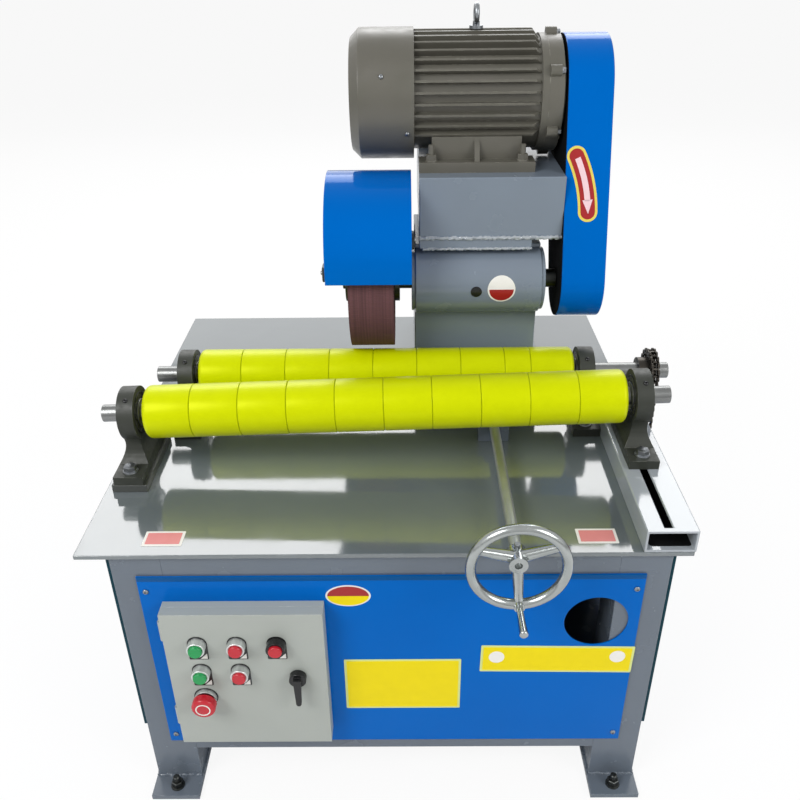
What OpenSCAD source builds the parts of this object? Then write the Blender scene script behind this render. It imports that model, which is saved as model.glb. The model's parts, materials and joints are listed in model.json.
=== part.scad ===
// Tube polishing machine: a welded table with two turning rollers that carry a tube,
// and a sliding head whose abrasive wheel polishes it. The origin is on the floor,
// in the middle of the anchor holes. +X is the operator's right and +Y is the rear.

/* [Table] */
// Width of the table plate, left to right
table_w = 954; // [920:2:1040]
// Depth of the table plate, front to back
table_d = 880; // [880:10:960]
// Height of the table top above the floor
table_h = 540; // [520:10:640]
// Thickness of the table plate
table_t = 8; // [6:1:12]
// Offset of the table plate from the middle of the legs
table_shift = -11; // [-20:1:0]

/* [Frame] */
// Overhang of the table plate past the legs, as the mean of left and right
side_overhang = 40; // [36:1:50]
// Overhang of the table plate past the legs, front and back
end_overhang = 6; // [2:1:20]
// Side of a square leg
leg = 80; // [60:2:90]
// Height of a cross rail
rail_h = 40; // [30:2:50]
// Thickness of a cross rail
rail_t = 40; // [30:2:50]
// Height of the lower rails above the floor
lower_rail_z = 86; // [70:2:110]
// Width of a foot plate
foot_w = 86; // [80:1:100]
// Length of a foot plate
foot_l = 125; // [110:1:140]
// Thickness of a foot plate
foot_t = 10; // [6:1:14]
// Reach of a foot plate in front of its leg
foot_out = 43; // [34:1:50]
// Diameter of an anchor hole
anchor_d = 14; // [10:1:18]

/* [Panels] */
// Thickness of the front and rear sheet panels
panel_t = 3; // [2:0.5:4]
// Thickness of the side panels over their folded edges
side_panel_t = 6; // [3:0.5:8]
// Distance of the front and rear panels' ends from the sides of the frame
panel_in = 37; // [20:1:50]
// Distance of the front and rear panels' upper edges under the table plate
panel_drop = 38; // [10:1:38]
// Lap of the front and rear panels over the lower rails
panel_lap = 17; // [10:1:30]
// Distance of the side panels' ends from the front and rear of the frame
side_panel_in = 4; // [0:1:30]
// Distance of the side panels' upper edges under the table plate
side_panel_drop = 7; // [2:1:30]
// Height of the side panels' lower edges above the lower rails
side_panel_rise = 21; // [0:1:40]
// Diameter of the speed adjusting hole in the front panel
speed_hole_d = 103; // [80:1:110]
// Distance of the speed adjusting hole from the right side of the frame
speed_hole_in = 106; // [100:1:140]
// Distance of the speed adjusting hole under the table plate
speed_hole_drop = 138; // [110:1:240]

/* [Control box] */
// Width of the box and its door
box_w = 258; // [240:2:264]
// Distance of the box from the left side of the frame
box_in = 72; // [68:1:90]
// Distance of the box's upper edge under the table plate
box_drop = 89; // [60:1:100]
// Height of the box's lower edge above the lower rails
box_rise = 19; // [4:1:40]
// Depth of the tub behind the door
tub_d = 150; // [100:5:200]
// Step from the collar's outside in to the tub
tub_step = 14; // [12:1:20]
// Reach of the collar in front of the panel
collar_out = 13; // [8:1:20]
// Wall of the box
box_wall = 2; // [1.5:0.5:3]
// Thickness of the door
door_t = 18; // [14:1:24]
// Diameter of a push button's cap
cap_d = 22; // [18:1:24]
// Diameter of a push button's bezel
bezel_d = 29; // [27:1:32]
// Height of a push button's bezel
bezel_h = 15; // [12:0.5:18]
// Travel of a push button
cap_travel = 4; // [2:0.5:4]
// Distance of the first button column from the door's left edge
button_in = 54; // [40:1:58]
// Distance of the first button row from the door's upper edge
button_down = 63; // [40:1:66]
// Spacing of the buttons, left to right
button_dx = 63.5; // [50:0.5:66]
// Spacing of the button rows
button_dz = 60; // [44:1:62]
// Diameter of the emergency stop's mushroom head
stop_d = 40; // [34:1:44]
// Travel of the emergency stop
stop_travel = 5; // [3:0.5:6]
// Distance of the lock from the door's right edge
lock_in = 47; // [36:1:50]
// Height of the lock above the door's lower edge
lock_up = 163; // [120:1:170]
// Length of the lock's lever below its hub
lever_l = 50; // [40:1:60]

/* [Rollers] */
// Diameter of the roller shafts
shaft_d = 30; // [25:1:35]
// Outside diameter of the roller sleeves
roller_d = 92; // [84:1:96]
// Length of one sleeve
sleeve_l = 81.5; // [78:0.5:82]
// Width of the groove between two sleeves
seam = 0.8; // [0.4:0.2:2]
// Radius of the round edges at a roller's ends
end_round = 9; // [4:1:12]
// Least gap between a sleeve and a bearing
sleeve_gap = 4; // [3:0.5:5]
// Length of the short sleeve on the rear roller
short_sleeve_l = 48; // [30:1:50]
// Reach of the front shaft past the middle of its bearings
front_shaft_out = 51; // [40:1:60]
// Reach of the rear shaft left of its bearing
rear_shaft_left = 60; // [40:2:70]
// Reach of the rear shaft past the chain
shaft_past_chain = 32; // [14:1:36]
// Place of the front roller behind the table's front edge
front_roller_y = 248; // [230:1:250]
// Place of the rear roller behind the table's front edge
rear_roller_y = 414; // [410:1:418]
// Distance of the front bearings from the ends of the table
front_block_in = 43; // [40:1:47]
// Distance of the rear bearings from the ends of the table
rear_block_in = 104; // [104:1:106]

/* [Bearing blocks] */
// Height of a block's bore above its foot
block_h = 95; // [90:1:104]
// Length of a block's foot, front to back
block_l = 167; // [150:1:170]
// Width of a block's foot
block_w = 50; // [44:1:50]
// Thickness of a block's foot
block_t = 16; // [12:1:20]
// Diameter of a block's ring
ring_d = 92; // [80:1:94]
// Width of a block's ring
ring_w = 28; // [26:1:34]
// Thickness of the column under the ring
column_t = 26; // [18:1:28]
// Width of the column's waist
waist_w = 54; // [40:1:60]
// Flare of the column at the foot, on each side of its waist
column_flare = 15; // [8:1:18]
// Height of the column's waist above the foot
waist_up = 30; // [24:1:34]
// Height of the curve by which the column widens to the foot
neck_h = 36; // [20:1:44]
// Diameter of the turning inner ring
inner_d = 48; // [42:1:54]
// Reach of the inner ring past the block's ring
inner_out = 3; // [2:0.5:4]
// Width of the bolt slots in a block's foot
bolt_slot_w = 14; // [10:1:16]
// Spacing of the bolt slots in a block's foot
bolt_slot_span = 126; // [116:1:128]
// Thickness of the packer under the front left block
packer_t = 14; // [6:1:20]
// Width of the packer
packer_w = 60; // [52:1:60]

/* [Slotted rail] */
// Width of the slotted rail under the front right block
slot_rail_w = 80; // [70:1:80]
// Height of the slotted rail
slot_rail_h = 40; // [30:1:50]
// Length of the slotted rail
slot_rail_l = 380; // [370:5:400]
// Wall of the slotted rail
slot_rail_wall = 4; // [3:0.5:6]
// Width of the slot
slot_w = 13; // [10:1:16]
// Distance of the slot from the ends of the rail
slot_end = 10; // [8:1:20]
// Distance of the slotted rail's left side from the right end of the table
slot_rail_in = 78; // [76:1:78]

/* [Chain drive] */
// Pitch of the chain
pitch = 12.7; // [12:0.1:13]
// Diameter of the chain's rollers
chain_roller_d = 8.5; // [7.5:0.1:8.8]
// Teeth of each sprocket
teeth = 18; // [16:2:18]
// Least height of the drive shaft above its shelf
drive_up = 100; // [90:1:110]
// Width of the sprocket teeth
tooth_w = 7; // [6:0.1:7.2]
// Inner width of the chain
chain_gap = 8.6; // [8.4:0.1:9.4]
// Thickness of a chain side plate
plate_t = 1.6; // [1.2:0.1:2]
// Height of a chain side plate
plate_h = 11.6; // [10.5:0.1:12]
// Height of a chain side plate's waist
plate_waist = 8.6; // [7.5:0.1:9.4]
// Distance of the chain from the right end of the table
chain_out = 22; // [21:1:34]
// Diameter of the drive shaft
drive_shaft_d = 25; // [20:1:30]

/* [Head slide] */
// Travel of the head to the rear
head_travel = 130; // [80:5:140]
// Place of the head's front face behind the table's front edge
head_y = 474; // [472:1:480]
// Distance of the slideway's middle from the right end of the table
slide_in = 299; // [296:1:302]
// Width of the slide base
base_w = 230; // [220:2:236]
// Distance of the slide base from the rear edge of the table
base_back = 10; // [4:1:16]
// Thickness of the slide base's bed
bed_t = 14; // [10:1:16]
// Width of each slideway
way_w = 56; // [40:1:60]
// Height of the slideways above the table
way_h = 60; // [54:1:64]
// Length of the saddle
saddle_l = 256; // [250:2:260]
// Width of the saddle
saddle_w = 246; // [240:2:250]
// Thickness of the saddle
saddle_t = 24; // [18:1:30]
// Clearance of sliding and turning faces
running_gap = 0.3; // [0.2:0.05:0.4]

/* [Lead screw and handwheel] */
// Diameter of the lead screw
screw_d = 18; // [16:1:20]
// Place of the lead screw right of the slideway's middle
screw_off = 20; // [15:1:25]
// Height of the lead screw above the table
screw_z = 33; // [31:1:35]
// Length of the nut under the saddle
nut_l = 50; // [40:1:60]
// Width of the nut
nut_w = 44; // [36:1:48]
// Length of the screw's front support
support_l = 30; // [24:1:36]
// Outside diameter of the handwheel
hand_d = 156; // [140:1:170]
// Thickness of the handwheel's rim
rim_d = 16; // [13:1:18]
// Distance of the rim in front of the table
hand_out = 70; // [64:1:80]
// Diameter of the handwheel's hub
hub_d = 28; // [26:1:34]
// Length of the handwheel's hub
hub_l = 34; // [28:1:38]
// Diameter of the spokes at the rim
spoke_d = 13; // [10:1:15]
// Diameter of the spokes at the hub
spoke_hub_d = 20; // [16:1:24]
// Diameter of the crank handle
handle_d = 13; // [11:1:15]
// Length of the crank handle
handle_l = 54; // [46:1:70]

/* [Spindle and wheel] */
// Place of the spindle behind the head's front face
spindle_in = 6; // [6:1:10]
// Gap between the abrasive wheel and the rear roller
wheel_gap = 6; // [5:0.5:14]
// Diameter of the abrasive wheel
wheel_d = 246; // [220:1:246]
// Width of the abrasive wheel
wheel_w = 80; // [70:1:84]
// Place of the wheel's middle left of the slideway's middle
wheel_off = 201; // [198:1:204]
// Diameter of the spindle
spindle_d = 34; // [28:1:40]
// Diameter of the wheel's clamping flanges
flange_d = 80; // [70:1:100]
// Thickness of a clamping flange
flange_t = 10; // [8:1:12]
// Diameter of the spindle housing
housing_d = 124; // [116:1:130]
// Distance of the housing from the wheel's flange
housing_gap = 22; // [18:0.5:26]
// Length of the housing
housing_l = 242; // [236:1:246]
// Thickness of the housing's end caps
cap_t = 7; // [5:1:10]

/* [Hood and guard] */
// Gap between the hood and the wheel, front and back
hood_gap = 12; // [10:1:20]
// Gap between the hood and the wheel's left flange
hood_side_gap = 24.5; // [18:0.5:28]
// Height of the middle of the hood's round top above the spindle
hood_up = 65; // [55:1:75]
// Height of the hood's front edge above the spindle
hood_front_up = 43; // [36:1:50]
// Distance of the hood's rear edge under the spindle
hood_rear_down = 32; // [20:1:50]
// Sheet thickness of the hood
hood_t = 2.5; // [2:0.5:4]
// Radius of the spindle's notch in the hood
notch_r = 28; // [24:1:34]
// Distance of the belt guard from the spindle housing
guard_gap = 26; // [20:0.5:30]
// Width of the belt guard
guard_w = 78; // [70:1:84]
// Radius of the belt guard at the spindle
guard_low_r = 70; // [64:1:78]
// Radius of the belt guard at the motor
guard_high_r = 100; // [90:1:108]

/* [Motor and seat] */
// Distance of the motor seat from the housing's left end
seat_in = 14; // [8:1:18]
// Height of the motor seat above the spindle housing
seat_up = 28; // [24:1:32]
// Depth of the motor seat
seat_d = 306; // [296:2:320]
// Height of the motor seat
seat_h = 108; // [100:1:116]
// Wall of the motor seat
seat_wall = 8; // [6:1:12]
// Thickness of the plate under the motor seat
seat_plate_t = 20; // [16:1:24]
// Width of the plate under the motor seat
seat_plate_w = 202; // [196:1:220]
// Height of the motor's shaft above its feet
motor_h = 112; // [112:1:116]
// Diameter of the motor's frame between the fins
motor_d = 190; // [180:1:196]
// Height of the cooling fins
fin_h = 13; // [10:1:14]
// Thickness of a cooling fin
fin_t = 4; // [3:0.5:5]
// Angle between two cooling fins
fin_step = 10; // [10:2:12]
// Length of the finned frame
fins_l = 231; // [224:1:236]
// Length of the fan cover
cover_l = 112; // [104:1:120]
// Diameter of the fan cover
cover_d = 224; // [220:1:226]
// Chamfer of the fan cover
cover_chamfer = 16; // [10:1:24]
// Length of the motor's end shield
shield_l = 31; // [26:1:34]
// Length of the motor's feet
motor_foot_l = 203; // [190:1:206]
// Width over the motor's feet
motor_foot_w = 244; // [236:2:246]

/* [Hidden] */
$fn = 72;
arc_steps = 36;
round_steps = 5;
column_steps = 8;
over = 1;
grey_paint = [0.46, 0.48, 0.53];
blue_paint = [0.03, 0.36, 0.72];
pale_paint = [0.78, 0.79, 0.77];
motor_paint = [0.36, 0.35, 0.30];
cast_paint = [0.24, 0.25, 0.22];
steel = [0.70, 0.71, 0.72];
chain_steel = [0.30, 0.29, 0.27];
yellow_sleeve = [0.82, 0.92, 0.02];
abrasive = [0.36, 0.20, 0.20];

mid_x = table_shift;
right_x = mid_x + table_w / 2;
front_y = -table_d / 2;
plate_z = table_h - table_t;
frame_w = table_w - 2 * side_overhang;
frame_d = table_d - 2 * end_overhang;
frame_front = -frame_d / 2;
leg_h = plate_z - foot_t;
leg_cx = (frame_w - leg) / 2;
lower_rail_top = lower_rail_z + rail_h;

panel_w = frame_w - 2 * panel_in;
panel_z = lower_rail_top - panel_lap;
panel_h = plate_z - panel_drop - panel_z;
side_panel_d = frame_d - 2 * side_panel_in;
side_panel_z = lower_rail_top + side_panel_rise;
side_panel_h = plate_z - side_panel_drop - side_panel_z;
speed_hole_x = frame_w / 2 - speed_hole_in;
speed_hole_z = plate_z - speed_hole_drop;

box_x0 = -frame_w / 2 + box_in;
box_z = lower_rail_top + box_rise;
box_h = plate_z - box_drop - box_z;
collar_y = frame_front - panel_t - collar_out;
tub_x0 = box_x0 + tub_step;
tub_w = box_w - 2 * tub_step;
tub_z0 = box_z + tub_step;
tub_h = box_h - 2 * tub_step;
hinge_r = 4.5;
hinge_gap = 0.7;
hinge_x = box_x0 - hinge_r - hinge_gap;
hinge_pin_r = 2;
hinge_in = 30;
leaf_t = 4;
knuckle_h = 20;
door_back = collar_y - running_gap;
door_y = door_back - door_t;
press_gap = 0.6;
cap_out = 5;
cap_back = cap_travel + press_gap;
cap_front = bezel_h + cap_out;
stop_collar_h = 8;
stop_collar_in = 4;
stop_back = stop_collar_h + stop_travel + press_gap;
stop_head_h = 15;
stop_stem_d = 22;
lock_hub_d = 28;
lock_hub_h = 12;
lever_t = 8;
lever_w = 13;
lever_end_r = 4.5;
lock_x = box_x0 + box_w - lock_in;
lock_z = box_z + lock_up;
column_x = box_x0 + button_in;
row_z = box_z + box_h - button_down;
stop_z = row_z - 2 * button_dz;

front_span = table_w - 2 * front_block_in;
rear_span = table_w - 2 * rear_block_in;
front_axis_y = front_y + front_roller_y;
rear_axis_y = front_y + rear_roller_y;
left_axis_z = table_h + packer_t + block_h;
right_axis_z = table_h + slot_rail_h + block_h;
front_axis_z = (left_axis_z + right_axis_z) / 2;
tilt = atan((right_axis_z - left_axis_z) / front_span);
rear_axis_z = table_h + block_h;
bore_d = inner_d + 2 * running_gap;
sleeve_room = ring_w / 2 + inner_out + sleeve_gap;
front_sleeve_count = floor((front_span - 2 * sleeve_room) / sleeve_l);
rear_sleeve_count = floor((rear_span - 2 * sleeve_room - short_sleeve_l) / sleeve_l);
rear_sleeves_l = rear_sleeve_count * sleeve_l + short_sleeve_l;
seam_round = 1.5;

chain_x = table_w / 2 + chain_out;
sprocket_x = mid_x + chain_x;
pitch_r = pitch / (2 * sin(180 / teeth));
tip_r = pitch * (0.6 + 1 / tan(180 / teeth)) / 2;
seat_gap = 0.1;
tooth_mouth = 1.6;
half_turn = teeth / 2;
shelf_t = 6;
shelf_top = lower_rail_top + shelf_t;
span_pitches = floor((rear_axis_z - shelf_top - drive_up) / pitch);
loop_pitches = 2 * (span_pitches + half_turn);
drive_z = rear_axis_z - span_pitches * pitch;
layer_gap = 0.2;
pin_end = 0.8;
chain_pin_r = 2.2;
sprocket_hub_d = 50;
sprocket_hub_l = 22;
gearbox_w = 110;
gearbox_l = 140;
gearbox_top = 60;
gearbox_gap = 20;
gearbox_h = drive_z + gearbox_top - shelf_top;
gearbox_x = frame_w / 2 - gearbox_w - gearbox_gap;
drive_motor_r = 62;
drive_motor_l = 210;
drive_motor_up = 8;

head_front = front_y + head_y;
slide_mid = right_x - slide_in;
base_l = table_d - head_y - base_back;
way_top = table_h + way_h;
saddle_z = way_top + running_gap;
saddle_top = saddle_z + saddle_t;
screw_cx = slide_mid + screw_off;
screw_cz = table_h + screw_z;
nut_in = 30;
nut_clear = 5;
nut_y = head_front + nut_in;
nut_z = table_h + bed_t + nut_clear;
screw_tail = 20;
screw_back = nut_y + nut_l + head_travel + screw_tail;
hand_y = front_y - hand_out;
hub_set = 20;
hub_y = hand_y + hub_set;
rim_r = (hand_d - rim_d) / 2;
handle_boss = 10;
handle_taper = 3;
support_y = (front_axis_y + rear_axis_y - support_l) / 2;
support_w = 56;
spoke_angles = [-87, 33, 153];
spoke_root = 6;
hub_hole_d = 12;
hub_hole_l = 8;

axis_y = head_front + spindle_in;
wheel_reach = wheel_d / 2 + roller_d / 2 + wheel_gap;
axis_z = rear_axis_z + sqrt(pow(wheel_reach, 2) - pow(axis_y - rear_axis_y, 2));
wheel_x0 = slide_mid - wheel_off - wheel_w / 2;
housing_x0 = wheel_x0 + wheel_w + flange_t + housing_gap;
housing_x1 = housing_x0 + housing_l;
cap_step = 4;
spindle_bore_d = spindle_d + 2 * running_gap;
spindle_out = 6;
spindle_end = wheel_x0 - flange_t - spindle_out;
hood_r = wheel_d / 2 + hood_gap;
hood_x0 = wheel_x0 - flange_t - hood_side_gap - hood_t;
hood_w = housing_x0 - hood_x0;
pedestal_d = 180;
pedestal_in = 6;
guard_x0 = housing_x1 + guard_gap;
seat_x0 = housing_x0 + seat_in;
seat_w = guard_x0 - seat_x0;
seat_set = 27;
seat_z = axis_z + housing_d / 2 + seat_up;
seat_y = head_front - seat_set;

motor_r = motor_d / 2;
motor_z0 = seat_z + seat_h;
motor_axis_y = seat_y + seat_d / 2;
motor_axis_z = motor_z0 + motor_h;
shield_x0 = guard_x0 - shield_l;
fins_x0 = shield_x0 - fins_l;
cover_x0 = fins_x0 - cover_l;
feet_back = 6;
motor_mid = fins_x0 + fins_l / 2 - feet_back;
fin_root = 2;
fin_slope = 12;
fin_free_angle = 54;
frame_rim_t = 12;
frame_rim_h = 5;
foot_in = 46;
foot_h = 18;
foot_web_t = 26;
foot_web_in = 26;
foot_rib_t = 9;
foot_rib_out = 4;
foot_rib_h = 34;
cover_t = 2.5;
cover_seat_l = 12;
grille_ring = 9;
grille_bar = 6;
grille_count = 5;
grille_in = 14;
spoke_w = 10;
shield_step = 6;
shield_lug_r = 10;
shield_lug_l = 19;
box_side = 96;
box_depth = 40;
box_lid_t = 12;
box_lid_out = 4;
gland_r = 13;
gland_l = 16;
eye_r = 14;
eye_bar_r = 4.5;
eye_collar_r = 12;
eye_collar_h = 5;
eye_stem_h = 12;

// Round bar along +X
module x_bar(r, len) {
    rotate([0, 90, 0]) cylinder(r = r, h = len);
}

// Round bar along +Y
module y_bar(r, len) {
    rotate([-90, 0, 0]) cylinder(r = r, h = len);
}

// Extrudes an outline drawn as [y, z] along +X
module along_x(len) {
    rotate([90, 0, 90]) linear_extrude(len) children();
}

// Points of an arc round [y, z], from one angle to another
function arc(y, z, r, from, to, steps = arc_steps) = [
    for (i = [0 : steps])
        let (a = from + (to - from) * i / steps) [y + r * cos(a), z + r * sin(a)]
];

// Places its children at the four legs, mirrored for the rear ones
module at_legs() {
    for (sx = [-1, 1]) {
        translate([sx * leg_cx, frame_front, 0]) children();
        translate([sx * leg_cx, -frame_front, 0]) mirror([0, 1, 0]) children();
    }
}

module foot_plates() {
    color(grey_paint) at_legs() difference() {
        translate([-foot_w / 2, -foot_out, 0]) cube([foot_w, foot_l, foot_t]);
        translate([0, -foot_out / 2, -over]) cylinder(d = anchor_d, h = foot_t + 2 * over);
    }
}

module legs() {
    color(grey_paint) at_legs()
        translate([-leg / 2, 0, foot_t]) cube([leg, leg, leg_h]);
}

module cross_rails() {
    length = frame_w - 2 * leg;
    color(grey_paint)
        for (z = [lower_rail_z, plate_z - rail_h], y = [frame_front, -frame_front - rail_t])
            translate([-length / 2, y, z]) cube([length, rail_t, rail_h]);
}

module side_rails() {
    length = frame_d - 2 * leg;
    color(grey_paint)
        for (z = [lower_rail_z, plate_z - rail_h], x = [-frame_w / 2, frame_w / 2 - rail_t])
            translate([x, -length / 2, z]) cube([rail_t, length, rail_h]);
}

module table_plate() {
    color(grey_paint) translate([mid_x - table_w / 2, front_y, plate_z]) cube([table_w, table_d, table_t]);
}

module front_panel() {
    color(blue_paint) translate([0, frame_front, 0]) difference() {
        translate([-panel_w / 2, -panel_t, panel_z]) cube([panel_w, panel_t, panel_h]);
        translate([tub_x0 - running_gap, -2 * panel_t, tub_z0 - running_gap])
            cube([tub_w + 2 * running_gap, 3 * panel_t, tub_h + 2 * running_gap]);
        translate([speed_hole_x, -2 * panel_t, speed_hole_z]) y_bar(speed_hole_d / 2, 3 * panel_t);
    }
}

module rear_panel() {
    color(blue_paint) translate([-panel_w / 2, -frame_front, panel_z]) cube([panel_w, panel_t, panel_h]);
}

module left_panel() {
    color(blue_paint) translate([-frame_w / 2 - side_panel_t, -side_panel_d / 2, side_panel_z])
        cube([side_panel_t, side_panel_d, side_panel_h]);
}

module right_panel() {
    color(blue_paint) difference() {
        translate([frame_w / 2, -side_panel_d / 2, side_panel_z]) cube([side_panel_t, side_panel_d, side_panel_h]);
        translate([frame_w / 2 - side_panel_t, rear_axis_y, drive_z]) x_bar(drive_shaft_d, 3 * side_panel_t);
    }
}

// Heights of the two box hinges
function hinge_heights() = [box_z + hinge_in, box_z + box_h - hinge_in - 2 * knuckle_h];

module control_box() {
    color(pale_paint) {
        difference() {
            union() {
                translate([box_x0, collar_y, box_z]) cube([box_w, collar_out, box_h]);
                translate([tub_x0, collar_y, tub_z0]) cube([tub_w, tub_d, tub_h]);
            }
            translate([tub_x0 + box_wall, collar_y - over, tub_z0 + box_wall])
                cube([tub_w - 2 * box_wall, tub_d - box_wall + over, tub_h - 2 * box_wall]);
        }
        for (z = hinge_heights()) translate([hinge_x, collar_y, z]) {
            cylinder(r = hinge_r, h = knuckle_h);
            cylinder(r = hinge_pin_r, h = 2 * knuckle_h - hinge_pin_r);
            cube([box_x0 - hinge_x, leaf_t, knuckle_h]);
        }
    }
}

module control_door() {
    color(pale_paint) {
        difference() {
            translate([box_x0, door_y, box_z]) cube([box_w, door_t, box_h]);
            translate([tub_x0, door_y + box_wall, tub_z0]) cube([tub_w, door_t, tub_h]);
        }
        for (z = hinge_heights()) translate([hinge_x, collar_y, z + knuckle_h + running_gap]) difference() {
            union() {
                cylinder(r = hinge_r, h = knuckle_h);
                translate([0, -leaf_t - running_gap, 0]) cube([box_x0 - hinge_x, leaf_t, knuckle_h]);
            }
            translate([0, 0, -over]) cylinder(r = hinge_pin_r + running_gap, h = knuckle_h + 2 * over);
        }
    }
}

// Middle of push button number i on the door's face
function button_place(i) = [column_x + (i % 3) * button_dx, door_y, row_z - floor(i / 3) * button_dz];

module button_bezels() {
    color(steel) for (i = [0 : 4]) translate(button_place(i)) difference() {
        translate([0, -bezel_h, 0]) y_bar(bezel_d / 2, bezel_h);
        translate([0, -bezel_h - over, 0]) y_bar(cap_d / 2 + running_gap, bezel_h + over);
    }
}

module push_button(i, colour) {
    color(colour) translate(button_place(i)) translate([0, -cap_front, 0]) y_bar(cap_d / 2, cap_front - cap_back);
}

module stop_collar() {
    color("black") translate([column_x, door_y, stop_z]) difference() {
        translate([0, -stop_collar_h, 0]) y_bar(stop_d / 2 - stop_collar_in, stop_collar_h);
        translate([0, -stop_collar_h - over, 0]) y_bar(stop_stem_d / 2 + running_gap, stop_collar_h + over);
    }
}

// Mushroom head on its stem, turned about the button's axis
module emergency_stop() {
    r = stop_d / 2;
    stem_r = stop_stem_d / 2;
    stem_back = stop_travel + press_gap;
    crown = stop_head_h / 3;
    color("red") translate([column_x, door_y, stop_z]) rotate([90, 0, 0]) rotate_extrude() polygon(concat(
        [[0, stem_back], [stem_r, stem_back], [stem_r, stop_back], [r, stop_back]],
        arc(r - crown, stop_back + stop_head_h - crown, crown, 0, 90, round_steps),
        [[0, stop_back + stop_head_h]]
    ));
}

module door_lock() {
    color("dimgray") translate([lock_x, door_y - running_gap - lock_hub_h, lock_z]) {
        y_bar(lock_hub_d / 2, lock_hub_h);
        rotate([90, 0, 0]) linear_extrude(lever_t) polygon(concat(
            [[lever_w / 2, lever_t], [-lever_w / 2, lever_t]],
            arc(0, lever_end_r - lever_l, lever_end_r, 180, 360, round_steps)
        ));
    }
}

module slotted_rail() {
    inner_w = slot_rail_w - 2 * slot_rail_wall;
    inner_h = slot_rail_h - 2 * slot_rail_wall;
    slot_x = slot_rail_in - front_block_in;
    color(grey_paint) translate([right_x - slot_rail_in, front_y, table_h]) difference() {
        cube([slot_rail_w, slot_rail_l, slot_rail_h]);
        translate([slot_rail_wall, -over, slot_rail_wall]) cube([inner_w, slot_rail_l + 2 * over, inner_h]);
        translate([slot_x - slot_w / 2, slot_end, slot_rail_h - 2 * slot_rail_wall])
            cube([slot_w, slot_rail_l - 2 * slot_end, 3 * slot_rail_wall]);
    }
}

module packer_plate() {
    color(grey_paint) translate([mid_x - front_span / 2 - packer_w / 2, front_axis_y - block_l / 2, table_h])
        cube([packer_w, block_l, packer_t]);
}

// Half width of a block's column at a height above its foot: narrowest at the waist
function column_half(z) = waist_w / 2 + column_flare * pow((z - waist_up) / waist_up, 2);

// Side outline of a block's column, from its foot up into its ring, as [y, z]
function column_outline() =
    let (top = block_h - ring_d / 4 - block_t, z = [for (i = [0 : column_steps]) top * i / column_steps])
    concat(
        [for (i = [0 : column_steps]) [column_half(z[i]), z[i]]],
        [for (i = [column_steps : -1 : 0]) [-column_half(z[i]), z[i]]]
    );

// Half thickness of a block's column at a height above its foot
function neck_half(z) = column_t / 2 + (block_w - column_t) / 2 * pow(max(1 - z / neck_h, 0), 2);

// Front outline of a block's column, as [x, z]
function neck_outline() =
    let (z = concat([for (i = [0 : column_steps]) neck_h * i / column_steps], block_h))
    concat(
        [for (h = z) [neck_half(h), h]],
        [for (i = [column_steps + 1 : -1 : 0]) [-neck_half(z[i]), z[i]]]
    );

// Tall pillow block standing on z = 0, with its bore along X, turned up by an angle
module bearing_block(angle) {
    color(cast_paint) difference() {
        union() {
            translate([-block_w / 2, -block_l / 2, 0]) cube([block_w, block_l, block_t]);
            translate([0, 0, block_t]) intersection() {
                translate([-block_w / 2, 0, 0]) along_x(block_w) polygon(column_outline());
                translate([0, block_l / 2, 0]) rotate([90, 0, 0]) linear_extrude(block_l) polygon(neck_outline());
            }
            translate([0, 0, block_h]) rotate([0, -angle, 0]) translate([-ring_w / 2, 0, 0])
                x_bar(ring_d / 2, ring_w);
        }
        translate([0, 0, block_h]) rotate([0, -angle, 0]) translate([-ring_w, 0, 0]) x_bar(bore_d / 2, 2 * ring_w);
        for (sy = [-1, 1]) translate([0, sy * bolt_slot_span / 2, -over])
            cylinder(d = bolt_slot_w, h = block_t + 2 * over);
    }
}

module front_left_block() {
    translate([mid_x - front_span / 2, front_axis_y, table_h + packer_t]) bearing_block(tilt);
}

module front_right_block() {
    translate([mid_x + front_span / 2, front_axis_y, table_h + slot_rail_h]) bearing_block(tilt);
}

module rear_left_block() {
    translate([mid_x - rear_span / 2, rear_axis_y, table_h]) bearing_block(0);
}

module rear_right_block() {
    translate([mid_x + rear_span / 2, rear_axis_y, table_h]) bearing_block(0);
}

// Places its children at the middle of the front roller, along its tilted axis
module on_front_axis() {
    translate([mid_x, front_axis_y, front_axis_z]) rotate([0, -tilt, 0]) children();
}

// Shaft from x0 to x1 with an inner ring at each bearing
module roller_shaft(x0, x1, bearing_x) {
    ring_l = ring_w + 2 * inner_out;
    translate([x0, 0, 0]) x_bar(shaft_d / 2, x1 - x0);
    for (x = [-bearing_x, bearing_x]) translate([x - ring_l / 2, 0, 0]) x_bar(inner_d / 2, ring_l);
}

// One sleeve turned from its outline, with the given radii on its left and right edges
module sleeve(length, left, right) {
    r = roller_d / 2;
    x0 = seam / 2;
    x1 = length - seam / 2;
    rotate([0, 90, 0]) rotate_extrude() polygon(concat(
        [[shaft_d / 2, x0]],
        arc(r - left, x0 + left, left, -90, 0, round_steps),
        arc(r - right, x1 - right, right, 0, 90, round_steps),
        [[shaft_d / 2, x1]]
    ));
}

// Row of sleeves of the given lengths, from x0 to the right, rounder at its two ends
module sleeve_row(x0, lengths) {
    last = len(lengths) - 1;
    starts = [for (i = 0, x = x0; i <= last; x = x + lengths[i], i = i + 1) x];
    for (i = [0 : last]) translate([starts[i], 0, 0])
        sleeve(lengths[i], i == 0 ? end_round : seam_round, i == last ? end_round : seam_round);
}

module front_shaft() {
    reach = front_span / 2 + front_shaft_out;
    color(steel) on_front_axis() roller_shaft(-reach, reach, front_span / 2 / cos(tilt));
}

module front_sleeves() {
    color(yellow_sleeve) on_front_axis()
        sleeve_row(-front_sleeve_count * sleeve_l / 2, [for (i = [1 : front_sleeve_count]) sleeve_l]);
}

module rear_shaft() {
    color(steel) translate([mid_x, rear_axis_y, rear_axis_z])
        roller_shaft(-rear_span / 2 - rear_shaft_left, chain_x + shaft_past_chain, rear_span / 2);
}

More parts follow.
